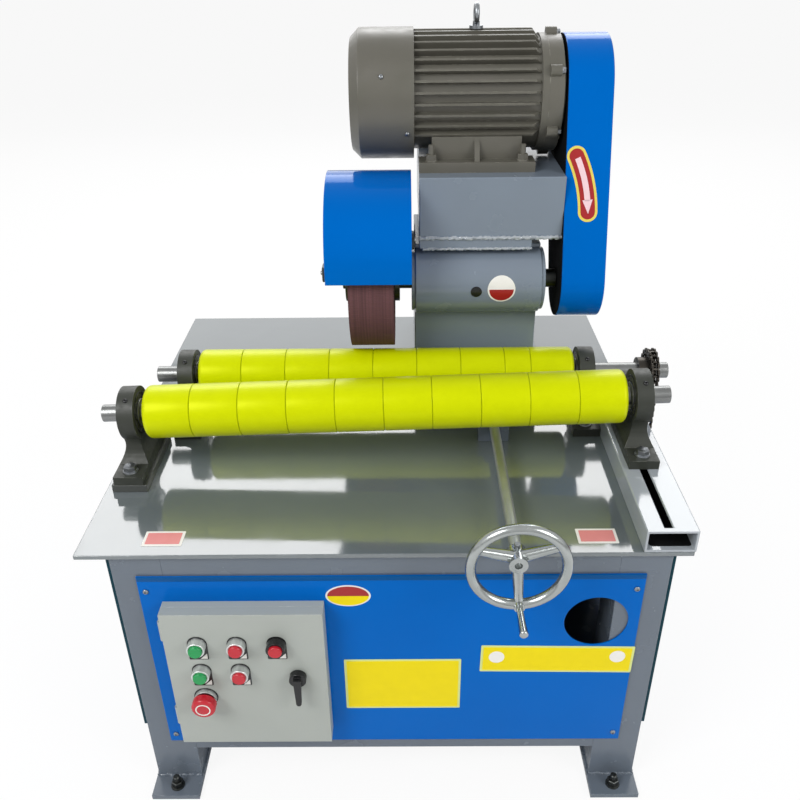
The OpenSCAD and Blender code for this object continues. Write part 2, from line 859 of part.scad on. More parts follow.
// The short sleeve is the one before the last
module rear_sleeves() {
    color(yellow_sleeve) translate([mid_x, rear_axis_y, rear_axis_z])
        sleeve_row(-rear_sleeves_l / 2,
            [for (i = [0 : rear_sleeve_count]) i == rear_sleeve_count - 1 ? short_sleeve_l : sleeve_l]);
}

// Outline of a chain wheel with a tooth gap on the +X side
module sprocket_outline() {
    seat = chain_roller_d / 2 + seat_gap;
    mouth = seat * tooth_mouth;
    difference() {
        circle(r = tip_r);
        for (i = [0 : teeth - 1]) rotate(i * 360 / teeth) translate([pitch_r, 0]) {
            circle(r = seat);
            polygon([[0, -seat], [0, seat], [2 * seat, mouth], [2 * seat, -mouth]]);
        }
    }
}

// Chain wheel with its hub on the left and its teeth in the chain's plane
module sprocket(bore) {
    difference() {
        union() {
            translate([-tooth_w / 2, 0, 0]) along_x(tooth_w) sprocket_outline();
            translate([-tooth_w / 2 - sprocket_hub_l, 0, 0]) x_bar(sprocket_hub_d / 2, sprocket_hub_l + over);
        }
        translate([-sprocket_hub_l - tooth_w, 0, 0]) x_bar(bore / 2, sprocket_hub_l + 2 * tooth_w);
    }
}

module roller_sprocket() {
    color(chain_steel) translate([sprocket_x, rear_axis_y, rear_axis_z]) sprocket(shaft_d);
}

module drive_sprocket() {
    shaft_x = gearbox_x + gearbox_w - sprocket_x;
    color(chain_steel) translate([sprocket_x, rear_axis_y, drive_z]) {
        sprocket(drive_shaft_d);
        translate([shaft_x, 0, 0]) x_bar(drive_shaft_d / 2, tooth_w - shaft_x);
    }
}

// Place of pin number k along the chain, from the drive axis, as [y, z]
function chain_point(k) =
    let (s = span_pitches, h = half_turn, turn = 180 / h)
    k <= s ? [pitch_r, k * pitch]
    : k <= s + h ? [pitch_r * cos((k - s) * turn), s * pitch + pitch_r * sin((k - s) * turn)]
    : k <= 2 * s + h ? [-pitch_r, (2 * s + h - k) * pitch]
    : [-pitch_r * cos((k - 2 * s - h) * turn), -pitch_r * sin((k - 2 * s - h) * turn)];

// True where a chain roller stays clear of the turning sprocket's teeth
function on_run(k) = k < span_pitches - 1 || k > span_pitches + half_turn + 1;

// Outline of the link plate from pin k to the next: round at both pins and waisted between them
module link_plate(k) {
    a = chain_point(k);
    b = chain_point((k + 1) % loop_pitches);
    step = b - a;
    translate(a) rotate(atan2(step[1], step[0])) {
        circle(d = plate_h);
        translate([norm(step), 0]) circle(d = plate_h);
        translate([0, -plate_waist / 2]) square([norm(step), plate_waist]);
    }
}

// Side plates of every second link, from pin number first, at x on both sides of the chain
module link_layer(first, x) {
    for (side = [-x - plate_t, x]) translate([side, 0, 0]) along_x(plate_t)
        for (k = [first : 2 : loop_pitches - 1]) link_plate(k);
}

// Roller chain: inner links, outer links a plate further out, and a pin and roller at each joint
module chain() {
    inner_x = chain_gap / 2;
    outer_x = inner_x + plate_t + layer_gap;
    pin_x = outer_x + plate_t + pin_end;
    color(chain_steel) translate([sprocket_x, rear_axis_y, drive_z]) {
        link_layer(0, inner_x);
        link_layer(1, outer_x);
        for (k = [0 : loop_pitches - 1]) translate([0, chain_point(k)[0], chain_point(k)[1]]) {
            for (x = [-pin_x, inner_x]) translate([x, 0, 0]) x_bar(chain_pin_r, pin_x - inner_x);
            if (on_run(k)) translate([-inner_x, 0, 0]) x_bar(chain_roller_d / 2, chain_gap);
        }
    }
}

module drive_unit() {
    color(cast_paint) {
        translate([gearbox_x, rear_axis_y - gearbox_l / 2, shelf_top]) cube([gearbox_w, gearbox_l, gearbox_h]);
        translate([gearbox_x - drive_motor_l, rear_axis_y, shelf_top + drive_motor_r + drive_motor_up])
            x_bar(drive_motor_r, drive_motor_l + over);
    }
}

// Floor of the cabinet on the lower rails, cut out at the four legs
module drive_shelf() {
    color(grey_paint) translate([-frame_w / 2, frame_front, lower_rail_top]) {
        translate([leg, 0, 0]) cube([frame_w - 2 * leg, frame_d, shelf_t]);
        translate([0, leg, 0]) cube([frame_w, frame_d - 2 * leg, shelf_t]);
    }
}

module slide_base() {
    color(grey_paint) translate([slide_mid - base_w / 2, head_front, table_h]) {
        cube([base_w, base_l, bed_t]);
        for (x = [0, base_w - way_w]) translate([x, 0, 0]) cube([way_w, base_l, way_h]);
    }
}

module screw_support() {
    color(grey_paint) difference() {
        translate([screw_cx, support_y, table_h]) {
            translate([-support_w / 2, 0, 0]) cube([support_w, support_l, screw_z]);
            translate([0, 0, screw_z]) y_bar(screw_d, support_l);
        }
        translate([screw_cx, support_y - over, screw_cz]) y_bar(screw_d / 2 + running_gap, support_l + 2 * over);
    }
}

module lead_screw() {
    color(steel) translate([screw_cx, hub_y, screw_cz]) y_bar(screw_d / 2, screw_back - hub_y);
}

// Dished spoke from the hub to the rim, along +X
module spoke() {
    run = rim_r - hub_d / 2 + spoke_root;
    translate([rim_r, 0, 0]) rotate([0, 0, 180 - atan(hub_set / run)])
        rotate([0, 90, 0]) cylinder(d1 = spoke_d, d2 = spoke_hub_d, h = norm([run, hub_set]));
}

module handwheel() {
    color(steel) translate([screw_cx, hand_y, screw_cz]) {
        rotate([90, 0, 0]) rotate_extrude() translate([rim_r, 0]) circle(d = rim_d);
        difference() {
            union() {
                translate([0, hub_set - hub_l / 2, 0]) y_bar(hub_d / 2, hub_l);
                for (a = spoke_angles) rotate([0, -a, 0]) spoke();
            }
            translate([0, hub_set, 0]) y_bar(screw_d / 2, hub_l);
            translate([0, hub_set - hub_l / 2 - over, 0]) y_bar(hub_hole_d / 2, hub_hole_l + over);
        }
        rotate([0, -spoke_angles[0], 0]) translate([rim_r, -handle_boss, 0]) y_bar(rim_d / 2, handle_boss);
    }
}

// Handle turned from its outline: slimmer at the wheel and round at its free end
module crank_handle() {
    r = handle_d / 2;
    color(steel) translate([screw_cx, hand_y, screw_cz]) rotate([0, -spoke_angles[0], 0])
        translate([rim_r, -handle_boss, 0]) rotate([90, 0, 0]) rotate_extrude() polygon(concat(
            [[0, 0], [r - handle_taper / 2, 0]],
            arc(r - handle_taper, handle_l - handle_taper, handle_taper, 0, 90, round_steps),
            [[0, handle_l]]
        ));
}

module saddle() {
    color(grey_paint) {
        translate([slide_mid - saddle_w / 2, head_front, saddle_z]) cube([saddle_w, saddle_l, saddle_t]);
        difference() {
            translate([screw_cx - nut_w / 2, nut_y, nut_z]) cube([nut_w, nut_l, saddle_z - nut_z]);
            translate([screw_cx, nut_y - over, screw_cz]) y_bar(screw_d / 2 + running_gap, nut_l + 2 * over);
        }
    }
}

// Room of the spindle housing, taken out of what carries it
module housing_room() {
    translate([housing_x0 - over, axis_y, axis_z]) x_bar(housing_d / 2, housing_l + 2 * over);
}

module pedestal() {
    color(grey_paint) difference() {
        translate([housing_x0 + pedestal_in, head_front, saddle_top])
            cube([housing_l - 2 * pedestal_in, pedestal_d, seat_z - seat_plate_t - saddle_top]);
        housing_room();
    }
}

module spindle_housing() {
    color(grey_paint) translate([housing_x0, axis_y, axis_z]) difference() {
        union() {
            x_bar(housing_d / 2 - cap_step, housing_l);
            translate([cap_t, 0, 0]) x_bar(housing_d / 2, housing_l - 2 * cap_t);
        }
        translate([-over, 0, 0]) x_bar(spindle_bore_d / 2, housing_l + 2 * over);
    }
}

module spindle() {
    color(steel) translate([0, axis_y, axis_z]) {
        translate([spindle_end, 0, 0]) x_bar(spindle_d / 2, guard_x0 - running_gap - spindle_end);
        for (x = [wheel_x0 - flange_t, wheel_x0 + wheel_w]) translate([x, 0, 0]) x_bar(flange_d / 2, flange_t);
    }
}

module abrasive_wheel() {
    color(abrasive) translate([wheel_x0, axis_y, axis_z]) difference() {
        x_bar(wheel_d / 2, wheel_w);
        translate([-over, 0, 0]) x_bar(spindle_d / 2, wheel_w + 2 * over);
    }
}

// Side outline of the hood, drawn in from its outside by t, as [y, z] from the spindle
function hood_outline(t, front, rear) =
    concat(arc(0, hood_up, hood_r - t, 0, 180), [[t - hood_r, front], [hood_r - t, rear]]);

module wheel_hood() {
    mouth = -hood_rear_down - notch_r;
    color(blue_paint) translate([hood_x0, axis_y, axis_z]) difference() {
        along_x(hood_w) polygon(hood_outline(0, hood_front_up, -hood_rear_down));
        translate([hood_t, 0, 0]) along_x(hood_w - 2 * hood_t) polygon(hood_outline(hood_t, mouth, mouth));
        translate([-over, 0, 0]) x_bar(notch_r, hood_w + 2 * over);
        translate([-over, -notch_r, mouth]) cube([hood_w + 2 * over, 2 * notch_r, -mouth]);
    }
}

module motor_seat() {
    color(grey_paint) {
        translate([seat_x0, seat_y, seat_z]) difference() {
            cube([seat_w, seat_d, seat_h]);
            translate([seat_wall, seat_wall, seat_wall])
                cube([seat_w - 2 * seat_wall, seat_d, seat_h - 2 * seat_wall]);
        }
        difference() {
            translate([seat_x0, seat_y, seat_z - seat_plate_t]) cube([seat_plate_w, pedestal_d, seat_plate_t]);
            housing_room();
        }
    }
}

// Cooling fin on the motor's top, sloped off at the drive end
module fin() {
    tip = motor_r + fin_h;
    root = motor_r - fin_root;
    translate([0, fin_t / 2, 0]) rotate([90, 0, 0]) linear_extrude(fin_t)
        polygon([[0, root], [fins_l - frame_rim_t, root], [fins_l - frame_rim_t - fin_slope, tip], [0, tip]]);
}

// Foot on the motor's front side: a flange, a wall up to the frame and a rib in the middle
module motor_foot() {
    front = -motor_foot_w / 2;
    web_y = front + foot_web_in;
    web_x = foot_in / 2;
    translate([0, front, 0]) cube([motor_foot_l, foot_in, foot_h]);
    translate([web_x, web_y, 0]) cube([motor_foot_l - 2 * web_x, foot_web_t, motor_h / 2]);
    translate([(motor_foot_l - foot_rib_t) / 2, 0, foot_h]) along_x(foot_rib_t)
        polygon([[front + foot_rib_out, -over], [front + foot_rib_out, 0], [web_y, foot_rib_h],
            [web_y + foot_web_t, foot_rib_h], [web_y + foot_web_t, -over]]);
}

module motor_frame() {
    fin_angles = [for (a = [-180 : fin_step : 179]) if (abs(a) <= 180 - fin_free_angle) a];
    color(motor_paint) {
        translate([fins_x0, motor_axis_y, motor_axis_z]) {
            x_bar(motor_r, fins_l);
            translate([-cover_seat_l, 0, 0]) x_bar(cover_d / 2 - cover_t, cover_seat_l);
            translate([fins_l - frame_rim_t, 0, 0]) x_bar(motor_r + frame_rim_h, frame_rim_t);
            for (a = fin_angles) rotate([a, 0, 0]) fin();
        }
        translate([motor_mid - motor_foot_l / 2, motor_axis_y, motor_z0])
            for (sy = [0, 1]) mirror([0, sy, 0]) motor_foot();
    }
}

// Ring slots of the fan cover's grille, left open between four bars
module grille_slots() {
    difference() {
        for (i = [0 : grille_count - 1]) {
            r = grille_in + i * (grille_ring + grille_bar);
            difference() {
                circle(r = r + grille_ring);
                circle(r = r);
            }
        }
        for (a = [45, 135]) rotate(a) translate([-cover_d, -spoke_w / 2]) square([2 * cover_d, spoke_w]);
    }
}

module fan_cover() {
    r = cover_d / 2;
    lip = r - cover_chamfer;
    color(motor_paint) translate([cover_x0, motor_axis_y, motor_axis_z]) difference() {
        rotate([0, 90, 0]) rotate_extrude()
            polygon([[0, 0], [lip, 0], [r, cover_chamfer], [r, cover_l], [r - cover_t, cover_l],
                [r - cover_t, cover_chamfer + cover_t / 2], [lip - cover_t / 2, cover_t], [0, cover_t]]);
        translate([-over, 0, 0]) along_x(cover_t + 2 * over) grille_slots();
    }
}

module end_shield() {
    r = motor_r + frame_rim_h;
    color(motor_paint) translate([shield_x0, motor_axis_y, motor_axis_z]) {
        x_bar(r, shield_l - shield_step);
        x_bar(r - shield_lug_l, shield_l);
        for (a = [0 : 60 : 300]) rotate([a, 0, 0]) translate([0, 0, r]) x_bar(shield_lug_r, shield_lug_l);
    }
}

// Terminal box on the motor's rear side, with its lid to the rear and a cable gland below
module terminal_box() {
    lid = box_side + 2 * box_lid_out;
    color(motor_paint) translate([motor_mid, motor_axis_y + motor_r + fin_h, motor_axis_z]) {
        translate([-box_side / 2, 0, -box_side / 2]) cube([box_side, box_depth, box_side]);
        translate([-lid / 2, box_depth, -lid / 2]) cube([lid, box_lid_t, lid]);
        translate([0, box_depth / 2, -box_side / 2 - gland_l]) cylinder(r = gland_r, h = gland_l + over);
    }
}

module lifting_eye() {
    color(steel) translate([motor_mid, motor_axis_y, motor_axis_z + motor_r + fin_h]) {
        cylinder(r = eye_collar_r, h = eye_collar_h);
        cylinder(r = eye_collar_r / 2, h = eye_stem_h);
        translate([0, 0, eye_stem_h + eye_r - eye_bar_r / 2]) rotate([0, 90, 0]) rotate_extrude()
            translate([eye_r, 0]) circle(r = eye_bar_r);
    }
}

// Outline round two circles: the first of radius r1 at the origin, the second of r2 at [y, z]
function belt_outline(r1, r2, y, z) =
    let (lean = atan2(z, y), a = acos((r1 - r2) / norm([y, z])))
    concat(arc(0, 0, r1, lean + a, lean + 360 - a), arc(y, z, r2, lean - a, lean + a));

module belt_guard() {
    color(blue_paint) translate([guard_x0, axis_y, axis_z]) along_x(guard_w)
        polygon(belt_outline(guard_low_r, guard_high_r, motor_axis_y - axis_y, motor_axis_z - axis_z));
}

foot_plates();
legs();
cross_rails();
side_rails();
table_plate();
front_panel();
rear_panel();
left_panel();
right_panel();
control_box();
control_door();
button_bezels();
stop_collar();
door_lock();
push_button(0, "green");  // button_1
push_button(1, "red");  // button_2
push_button(2, "red");  // button_3
push_button(3, "green");  // button_4
push_button(4, "red");  // button_5
emergency_stop();
slotted_rail();
packer_plate();
front_left_block();
front_right_block();
rear_left_block();
rear_right_block();
front_shaft();
front_sleeves();
rear_shaft();
rear_sleeves();
roller_sprocket();
chain();
drive_sprocket();
drive_unit();
drive_shelf();
slide_base();
screw_support();
lead_screw();
handwheel();
crank_handle();
saddle();
pedestal();
spindle_housing();
spindle();
abrasive_wheel();
wheel_hood();
motor_seat();
motor_frame();
fan_cover();
end_shield();
terminal_box();
lifting_eye();
belt_guard();
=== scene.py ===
"""Looks of a tube polishing machine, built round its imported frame.

Metres, +Z up, +X to the operator's right, +Y to the rear. The origin is on the floor under the machine.
"""
import json
import math

import bmesh
import bpy
from mathutils import Matrix, Vector

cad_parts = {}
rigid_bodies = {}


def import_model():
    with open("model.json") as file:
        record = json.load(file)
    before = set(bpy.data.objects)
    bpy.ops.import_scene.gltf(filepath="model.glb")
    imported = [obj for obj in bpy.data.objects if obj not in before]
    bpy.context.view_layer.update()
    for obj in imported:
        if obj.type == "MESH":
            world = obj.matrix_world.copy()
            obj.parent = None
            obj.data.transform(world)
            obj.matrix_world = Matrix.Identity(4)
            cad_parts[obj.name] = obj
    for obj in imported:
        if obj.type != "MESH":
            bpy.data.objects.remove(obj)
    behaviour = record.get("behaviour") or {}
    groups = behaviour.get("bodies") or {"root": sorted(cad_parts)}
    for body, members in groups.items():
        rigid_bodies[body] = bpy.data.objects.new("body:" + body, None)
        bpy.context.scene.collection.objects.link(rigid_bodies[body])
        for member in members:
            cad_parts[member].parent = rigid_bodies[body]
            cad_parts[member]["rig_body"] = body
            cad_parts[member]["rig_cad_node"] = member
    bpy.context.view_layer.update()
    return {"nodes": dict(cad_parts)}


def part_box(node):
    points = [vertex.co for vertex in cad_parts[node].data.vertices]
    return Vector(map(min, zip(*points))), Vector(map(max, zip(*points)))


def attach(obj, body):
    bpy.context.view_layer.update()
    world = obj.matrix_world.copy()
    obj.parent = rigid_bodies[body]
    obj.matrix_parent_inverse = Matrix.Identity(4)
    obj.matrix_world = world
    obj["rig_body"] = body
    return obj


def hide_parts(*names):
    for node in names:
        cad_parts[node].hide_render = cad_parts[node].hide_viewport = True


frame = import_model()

MM = 0.001
SEED = 7
QUARTER_TURN = math.pi / 2
RIGHT = Vector((1, 0, 0))
LEFT = Vector((-1, 0, 0))
FRONT = Vector((0, -1, 0))
REAR = Vector((0, 1, 0))
UP = Vector((0, 0, 1))


# Small helpers for shaders


def rgb(code):
    """Linear colour of an sRGB hex value."""
    shares = [int(code[i:i + 2], 16) / 255 for i in (1, 3, 5)]
    return (*[s / 12.92 if s <= 0.04045 else ((s + 0.055) / 1.055) ** 2.4 for s in shares], 1.0)


def per(size_mm):
    """Pattern scale at which one blob or cell is about this size."""
    return 1 / (size_mm * MM)


def add(material, kind, settings=None, links=None):
    """Adds a shader node: settings are its own choices, links its sockets' values or what feeds them."""
    node = material.node_tree.nodes.new("ShaderNode" + kind)
    for name, value in (settings or {}).items():
        setattr(node, name, value)
    join(material, node, links or {})
    return node


def join(material, node, links):
    """Sets a node's input sockets, or links them where the value is another node's output."""
    for name, value in links.items():
        if isinstance(value, bpy.types.NodeSocket):
            material.node_tree.links.new(value, node.inputs[name])
        else:
            node.inputs[name].default_value = value


def blank(name):
    """New material with its surface shader and the Object coordinates that its patterns read."""
    material = bpy.data.materials.new(name)
    material.use_nodes = True
    shader = material.node_tree.nodes["Principled BSDF"]
    place = add(material, "TexCoord").outputs["Object"]
    return material, shader, place


# Finishes. Pattern sizes and depths are in millimetres.


MIX = {"data_type": "RGBA"}
FACTOR, FIRST, SECOND, MIXED = 0, 6, 7, 2
CLEAR_SHINE = "#ffffff"
# Values between which most of a noise pattern lies
NOISE_SPREAD = {"From Min": 0.3, "From Max": 0.7}
# Worn edges: how wide they are, the size of a chip, how far the surface turns there, how much is bare
WORN_EDGE = 1.6
WORN_CHIP = 14
WORN_TURN = {"From Min": 0.995, "From Max": 0.9}
WORN_SHARE = {"From Min": 0.5, "From Max": 0.7}
METAL_CLOUD = 25
PLASTIC_CLOUD = 18
PLASTIC_IOR = 1.49


def drift(material, place, cloud_mm, detail, light, dark):
    """Colour that wanders between two tones, in clouds of about this size."""
    cloud = add(material, "TexNoise", None, {"Vector": place, "Scale": per(cloud_mm), "Detail": detail})
    tone = add(material, "Mix", MIX, {FACTOR: cloud.outputs["Fac"], FIRST: rgb(light), SECOND: rgb(dark)})
    return tone.outputs[MIXED]


def rubbed_edges(material, place, skin, worn):
    """A paint's colour with its edges rubbed through to a paler tone, in chips."""
    rounded = add(material, "Bevel", {"samples": 4}, {"Radius": WORN_EDGE * MM})
    flat = add(material, "NewGeometry").outputs["Normal"]
    near = add(material, "VectorMath", {"operation": "DOT_PRODUCT"}, {0: rounded.outputs[0], 1: flat})
    edge = add(material, "MapRange", None, {"Value": near.outputs["Value"], **WORN_TURN})
    rub = add(material, "TexNoise", None, {"Vector": place, "Scale": per(WORN_CHIP), "Detail": 6.0})
    chip = add(material, "MapRange", None, {"Value": rub.outputs["Fac"], **WORN_SHARE})
    bare = add(material, "Math", {"operation": "MULTIPLY"}, {0: edge.outputs[0], 1: chip.outputs[0]})
    rubbed = add(material, "Mix", MIX, {FACTOR: bare.outputs[0], FIRST: skin, SECOND: rgb(worn)})
    return rubbed.outputs[MIXED]


def paint(name, light, dark, cloud_mm, peel_mm, peel_depth, gloss, worn=None, ior=1.5, tint=CLEAR_SHINE):
    """Paint on metal: a slow drift between two tones, an uneven gloss, a skin of fine dimples, and edges
    rubbed through to a paler tone where one is given. A tint colours the shine of a deep paint."""
    material, shader, place = blank(name)
    skin = drift(material, place, cloud_mm, 4.0, light, dark)
    if worn:
        skin = rubbed_edges(material, place, skin, worn)
    peel = add(material, "TexNoise", None, {"Vector": place, "Scale": per(peel_mm), "Detail": 2.0})
    bump = add(material, "Bump", None, {"Height": peel.outputs["Fac"], "Distance": peel_depth * MM})
    haze = add(material, "TexNoise", None, {"Vector": place, "Scale": per(cloud_mm / 3), "Detail": 5.0})
    sheen = add(material, "MapRange", None,
                {"Value": haze.outputs["Fac"], **NOISE_SPREAD, "To Min": gloss[0], "To Max": gloss[1]})
    join(material, shader, {"Base Color": skin, "Roughness": sheen.outputs[0], "Normal": bump.outputs[0],
                            "IOR": ior, "Specular Tint": rgb(tint)})
    return material


def metal(name, light, dark, stretch, line_mm, depth, gloss):
    """Bare metal: fine lines that follow the tool, as the pattern is stretched along X, Y and Z."""
    material, shader, place = blank(name)
    drawn = add(material, "Mapping", None, {"Vector": place, "Scale": stretch}).outputs[0]
    lines = add(material, "TexNoise", None, {"Vector": drawn, "Scale": per(line_mm), "Detail": 5.0})
    sheen = add(material, "MapRange", None,
                {"Value": lines.outputs["Fac"], **NOISE_SPREAD, "To Min": gloss[0], "To Max": gloss[1]})
    bump = add(material, "Bump", None, {"Height": lines.outputs["Fac"], "Distance": depth * MM})
    join(material, shader, {"Base Color": drift(material, place, METAL_CLOUD, 3.0, light, dark),
                            "Roughness": sheen.outputs[0], "Normal": bump.outputs[0], "Metallic": 1.0})
    return material


def moulded(name, light, dark, grain_mm, depth, gloss, tint=CLEAR_SHINE):
    """Moulded or printed plastic: one colour with a slight drift, and a fine even grain."""
    material, shader, place = blank(name)
    grain = add(material, "TexNoise", None, {"Vector": place, "Scale": per(grain_mm), "Detail": 3.0})
    bump = add(material, "Bump", None, {"Height": grain.outputs["Fac"], "Distance": depth * MM})
    sheen = add(material, "MapRange", None,
                {"Value": grain.outputs["Fac"], "To Min": gloss[0], "To Max": gloss[1]})
    join(material, shader, {"Base Color": drift(material, place, PLASTIC_CLOUD, 3.0, light, dark),
                            "Roughness": sheen.outputs[0], "Normal": bump.outputs[0], "IOR": PLASTIC_IOR,
                            "Specular Tint": rgb(tint)})
    return material


# Alkyd machine enamel sprayed on mild steel: blue-grey, wet-looking, with a little orange peel
grey_enamel = paint("machine_enamel_grey", "#67717c", "#5f6771", 160, 2.2, 0.012, (0.16, 0.30), "#a9b0b6")
# The same enamel on the head, painted a little paler and bluer: painted light for the extra light on the
# head's front faces
head_grey_painted_light = paint("enamel_grey_head_painted_light", "#7a8693", "#717b87", 160, 2.2, 0.012, (0.16, 0.30), "#aeb5bb")
# The same enamel on the table top, thick, wiped with oil and mirror-like: rollers and sky show in it
table_enamel = paint("table_enamel_oiled", "#6a7275", "#5f676a", 120, 5.0, 0.004, (0.05, 0.11),
                     "#b4bac0", 2.0)
# Paler grey enamel on the slotted rail, as shiny as the table
rail_enamel = paint("rail_enamel_pale_grey", "#a6acb2", "#9aa1a7", 120, 5.0, 0.004, (0.06, 0.13),
                    "#b9bfc4", 1.9)
# Plate under a block, dark grey all over
dark_packer_paint = paint("packer_paint_dark", "#4a4d4a", "#383a38", 20, 1.4, 0.030, (0.30, 0.45), "#777a77")
# Blue alkyd enamel on folded sheet: even, deep and glossy
blue_enamel = paint("sheet_enamel_blue", "#0064bd", "#005db2", 220, 5.0, 0.006, (0.07, 0.13),
                    "#2f86cc", 1.33, "#2a9cff")
# The same blue painted darker and duller: painted shade for edges that lie in shade
shaded_blue = paint("sheet_enamel_blue_painted_shade", "#00518f", "#004a84", 220, 5.0, 0.006, (0.30, 0.40), None, 1.2)
# Cut edge of the side sheets: dark, with a green-blue tinge
cut_edge = paint("sheet_edge_dark", "#123e4a", "#0e3540", 60, 1.6, 0.010, (0.50, 0.60), None, 1.2)
# Pale grey epoxy powder coat on the control box: satin, with a fine texture
powder_coat = paint("powder_coat_pale_grey", "#a9aea8", "#9fa49e", 90, 0.9, 0.020, (0.34, 0.46), "#c9cdc8")
# Olive-grey enamel on the motor's iron and sheet: thin, so that the casting shows through
motor_enamel = paint("motor_enamel_olive_grey", "#625f58", "#57564c", 60, 1.6, 0.030, (0.28, 0.44), "#8f8d83")
# Dark green-grey enamel brushed on sand-cast iron: lumpy, satin
cast_enamel = paint("cast_iron_enamel_dark", "#363932", "#2c2e29", 24, 2.4, 0.090, (0.34, 0.52),
                    "#7b7d76", 1.42)
# Matt black painted shade on the guard's back and on the rail's floor: no shine at any angle
painted_shade_black = paint("black_painted_shade_coat", "#161718", "#111213", 60, 1.6, 0.020, (0.86, 0.95), None, 1.1)

ROUND_X = (1.0, 0.05, 0.05)
ROUND_Y = (0.05, 1.0, 0.05)
ALL_WAYS = (1.0, 1.0, 1.0)
# Mild steel turned in a lathe: fine rings across the shaft, a grey shine
turned_steel = metal("turned_mild_steel", "#8f908e", "#747676", ROUND_X, 0.6, 0.010, (0.26, 0.40))
# Blackened steel of the spindle and its flanges: dark, with a low shine
black_steel = metal("blackened_steel", "#4b4d4c", "#3b3d3c", ROUND_X, 0.6, 0.010, (0.30, 0.44))
# Drawn screw steel: pale grey and matt, with lines round the bar
screw_steel = metal("drawn_screw_steel", "#bcbfbf", "#a6aaaa", ROUND_Y, 0.8, 0.030, (0.42, 0.55))
# Chromium plate over polished iron: bright, with soft swirls left from buffing
chrome_plate = metal("chromium_plate", "#b6bab9", "#9a9f9e", ALL_WAYS, 6.0, 0.012, (0.14, 0.28))
# Satin chromium on the push buttons' bezels: pale and even
satin_chrome = metal("satin_chromium", "#e2e5e4", "#d5d8d7", ALL_WAYS, 1.2, 0.008, (0.40, 0.50))
# Zinc-plated fasteners: faintly blue, matt
zinc_plate = metal("zinc_plate", "#9ea1a4", "#83878b", ALL_WAYS, 1.2, 0.010, (0.30, 0.44))
# Roller chain and sprockets in oiled steel: dark and brownish, with a greasy shine
chain_steel = metal("oiled_chain_steel", "#56524c", "#3a3733", ALL_WAYS, 2.0, 0.030, (0.26, 0.46))

# Cast polyurethane sleeves: fluorescent yellow-green, softly shining, with a faint grain
polyurethane = moulded("cast_polyurethane_yellow", "#ced903", "#c4cf02", 1.4, 0.008, (0.26, 0.38), "#ffff50")
# Injection-moulded black nylon: deep black with a soft shine
black_nylon = moulded("black_nylon", "#141517", "#0d0e10", 0.8, 0.010, (0.20, 0.32))
# Acrylic push-button caps: strong colours, smooth and shiny
green_acrylic = moulded("green_acrylic", "#139a50", "#0f8a47", 3.0, 0.004, (0.14, 0.22))
red_acrylic = moulded("red_acrylic", "#c4202f", "#b01a28", 3.0, 0.004, (0.14, 0.22))
# Printed vinyl: smooth films in flat colours, slightly satin
yellow_vinyl = moulded("vinyl_yellow", "#eed80c", "#e5cf0a", 2.0, 0.004, (0.28, 0.38), "#ffff60")
straw_vinyl = moulded("vinyl_straw", "#e0cd62", "#d7c459", 2.0, 0.004, (0.30, 0.40), "#ffff90")
blush_vinyl = moulded("vinyl_blush", "#eccbd1", "#e4c2c8", 2.0, 0.004, (0.30, 0.40))
white_vinyl = moulded("vinyl_white", "#eceae4", "#e2e0da", 2.0, 0.004, (0.30, 0.40))
pink_vinyl = moulded("vinyl_pale_red", "#dc8584", "#d37a79", 2.0, 0.004, (0.30, 0.40))
red_vinyl = moulded("vinyl_red", "#a21418", "#951014", 2.0, 0.004, (0.28, 0.38))
lime_vinyl = moulded("vinyl_pale_border", "#d7e08c", "#cdd783", 2.0, 0.004, (0.30, 0.40))

STREAK_MM = 3.2
STREAK_STRETCH = (1.0, 0.012, 0.012)
STREAK_SPREAD = {"From Min": 0.35, "From Max": 0.68}
GRIT_MM = 0.5
GRIT_DEPTH = 0.10


def abrasive_cloth():
    """Aluminium oxide grit glued on cloth: red-brown and matt, with fine streaks worn round the wheel.
    The real grit is 0.2 mm, drawn here at 0.5 mm so that it shows."""
    material, shader, place = blank("aluminium_oxide_cloth")
    drawn = add(material, "Mapping", None, {"Vector": place, "Scale": STREAK_STRETCH}).outputs[0]
    streak = add(material, "TexNoise", None, {"Vector": drawn, "Scale": per(STREAK_MM), "Detail": 8.0})
    mark = add(material, "MapRange", None, {"Value": streak.outputs["Fac"], **STREAK_SPREAD})
    tone = add(material, "Mix", MIX, {FACTOR: mark.outputs[0], FIRST: rgb("#4c2e31"), SECOND: rgb("#603c40")})
    grit = add(material, "TexVoronoi", None, {"Vector": place, "Scale": per(GRIT_MM)})
    bump = add(material, "Bump", None, {"Height": grit.outputs["Distance"], "Distance": GRIT_DEPTH * MM})
    join(material, shader, {"Base Color": tone.outputs[MIXED], "Normal": bump.outputs[0], "Roughness": 0.82})
    return material


abrasive = abrasive_cloth()


# Small helpers for modelling


def take(*pieces):
    """Makes these pieces, and nothing else, what an operator acts on."""
    if bpy.context.mode != "OBJECT":
        bpy.ops.object.mode_set(mode="OBJECT")
    bpy.ops.object.select_all(action="DESELECT")
    for piece in pieces:
        piece.select_set(True)
    if pieces:
        bpy.context.view_layer.objects.active = pieces[0]


def settle(piece):
    """Moves a piece's place, turn and scale into its mesh."""
    take(piece)
    bpy.ops.object.transform_apply(location=True, rotation=True, scale=True)


def start(kind, name, **settings):
    """Adds a primitive with nothing else selected."""
    take()
    getattr(bpy.ops.mesh, "primitive_" + kind + "_add")(**settings)
    piece = bpy.context.object
    piece.name = name
    return piece


def block(name, low, high):
    """A box between two corners, to be shaped further."""
    low, high = Vector(low), Vector(high)
    piece = start("cube", name, size=1, location=(low + high) / 2)
    piece.scale = high - low
    settle(piece)
    return piece


def stub(name, sides, radius, height, foot=0.0):
    """An upright cylinder that stands on z = foot, to be shaped further."""
    piece = start("cylinder", name, vertices=sides, radius=radius, depth=height,
                  location=(0, 0, foot + height / 2))
    settle(piece)
    return piece


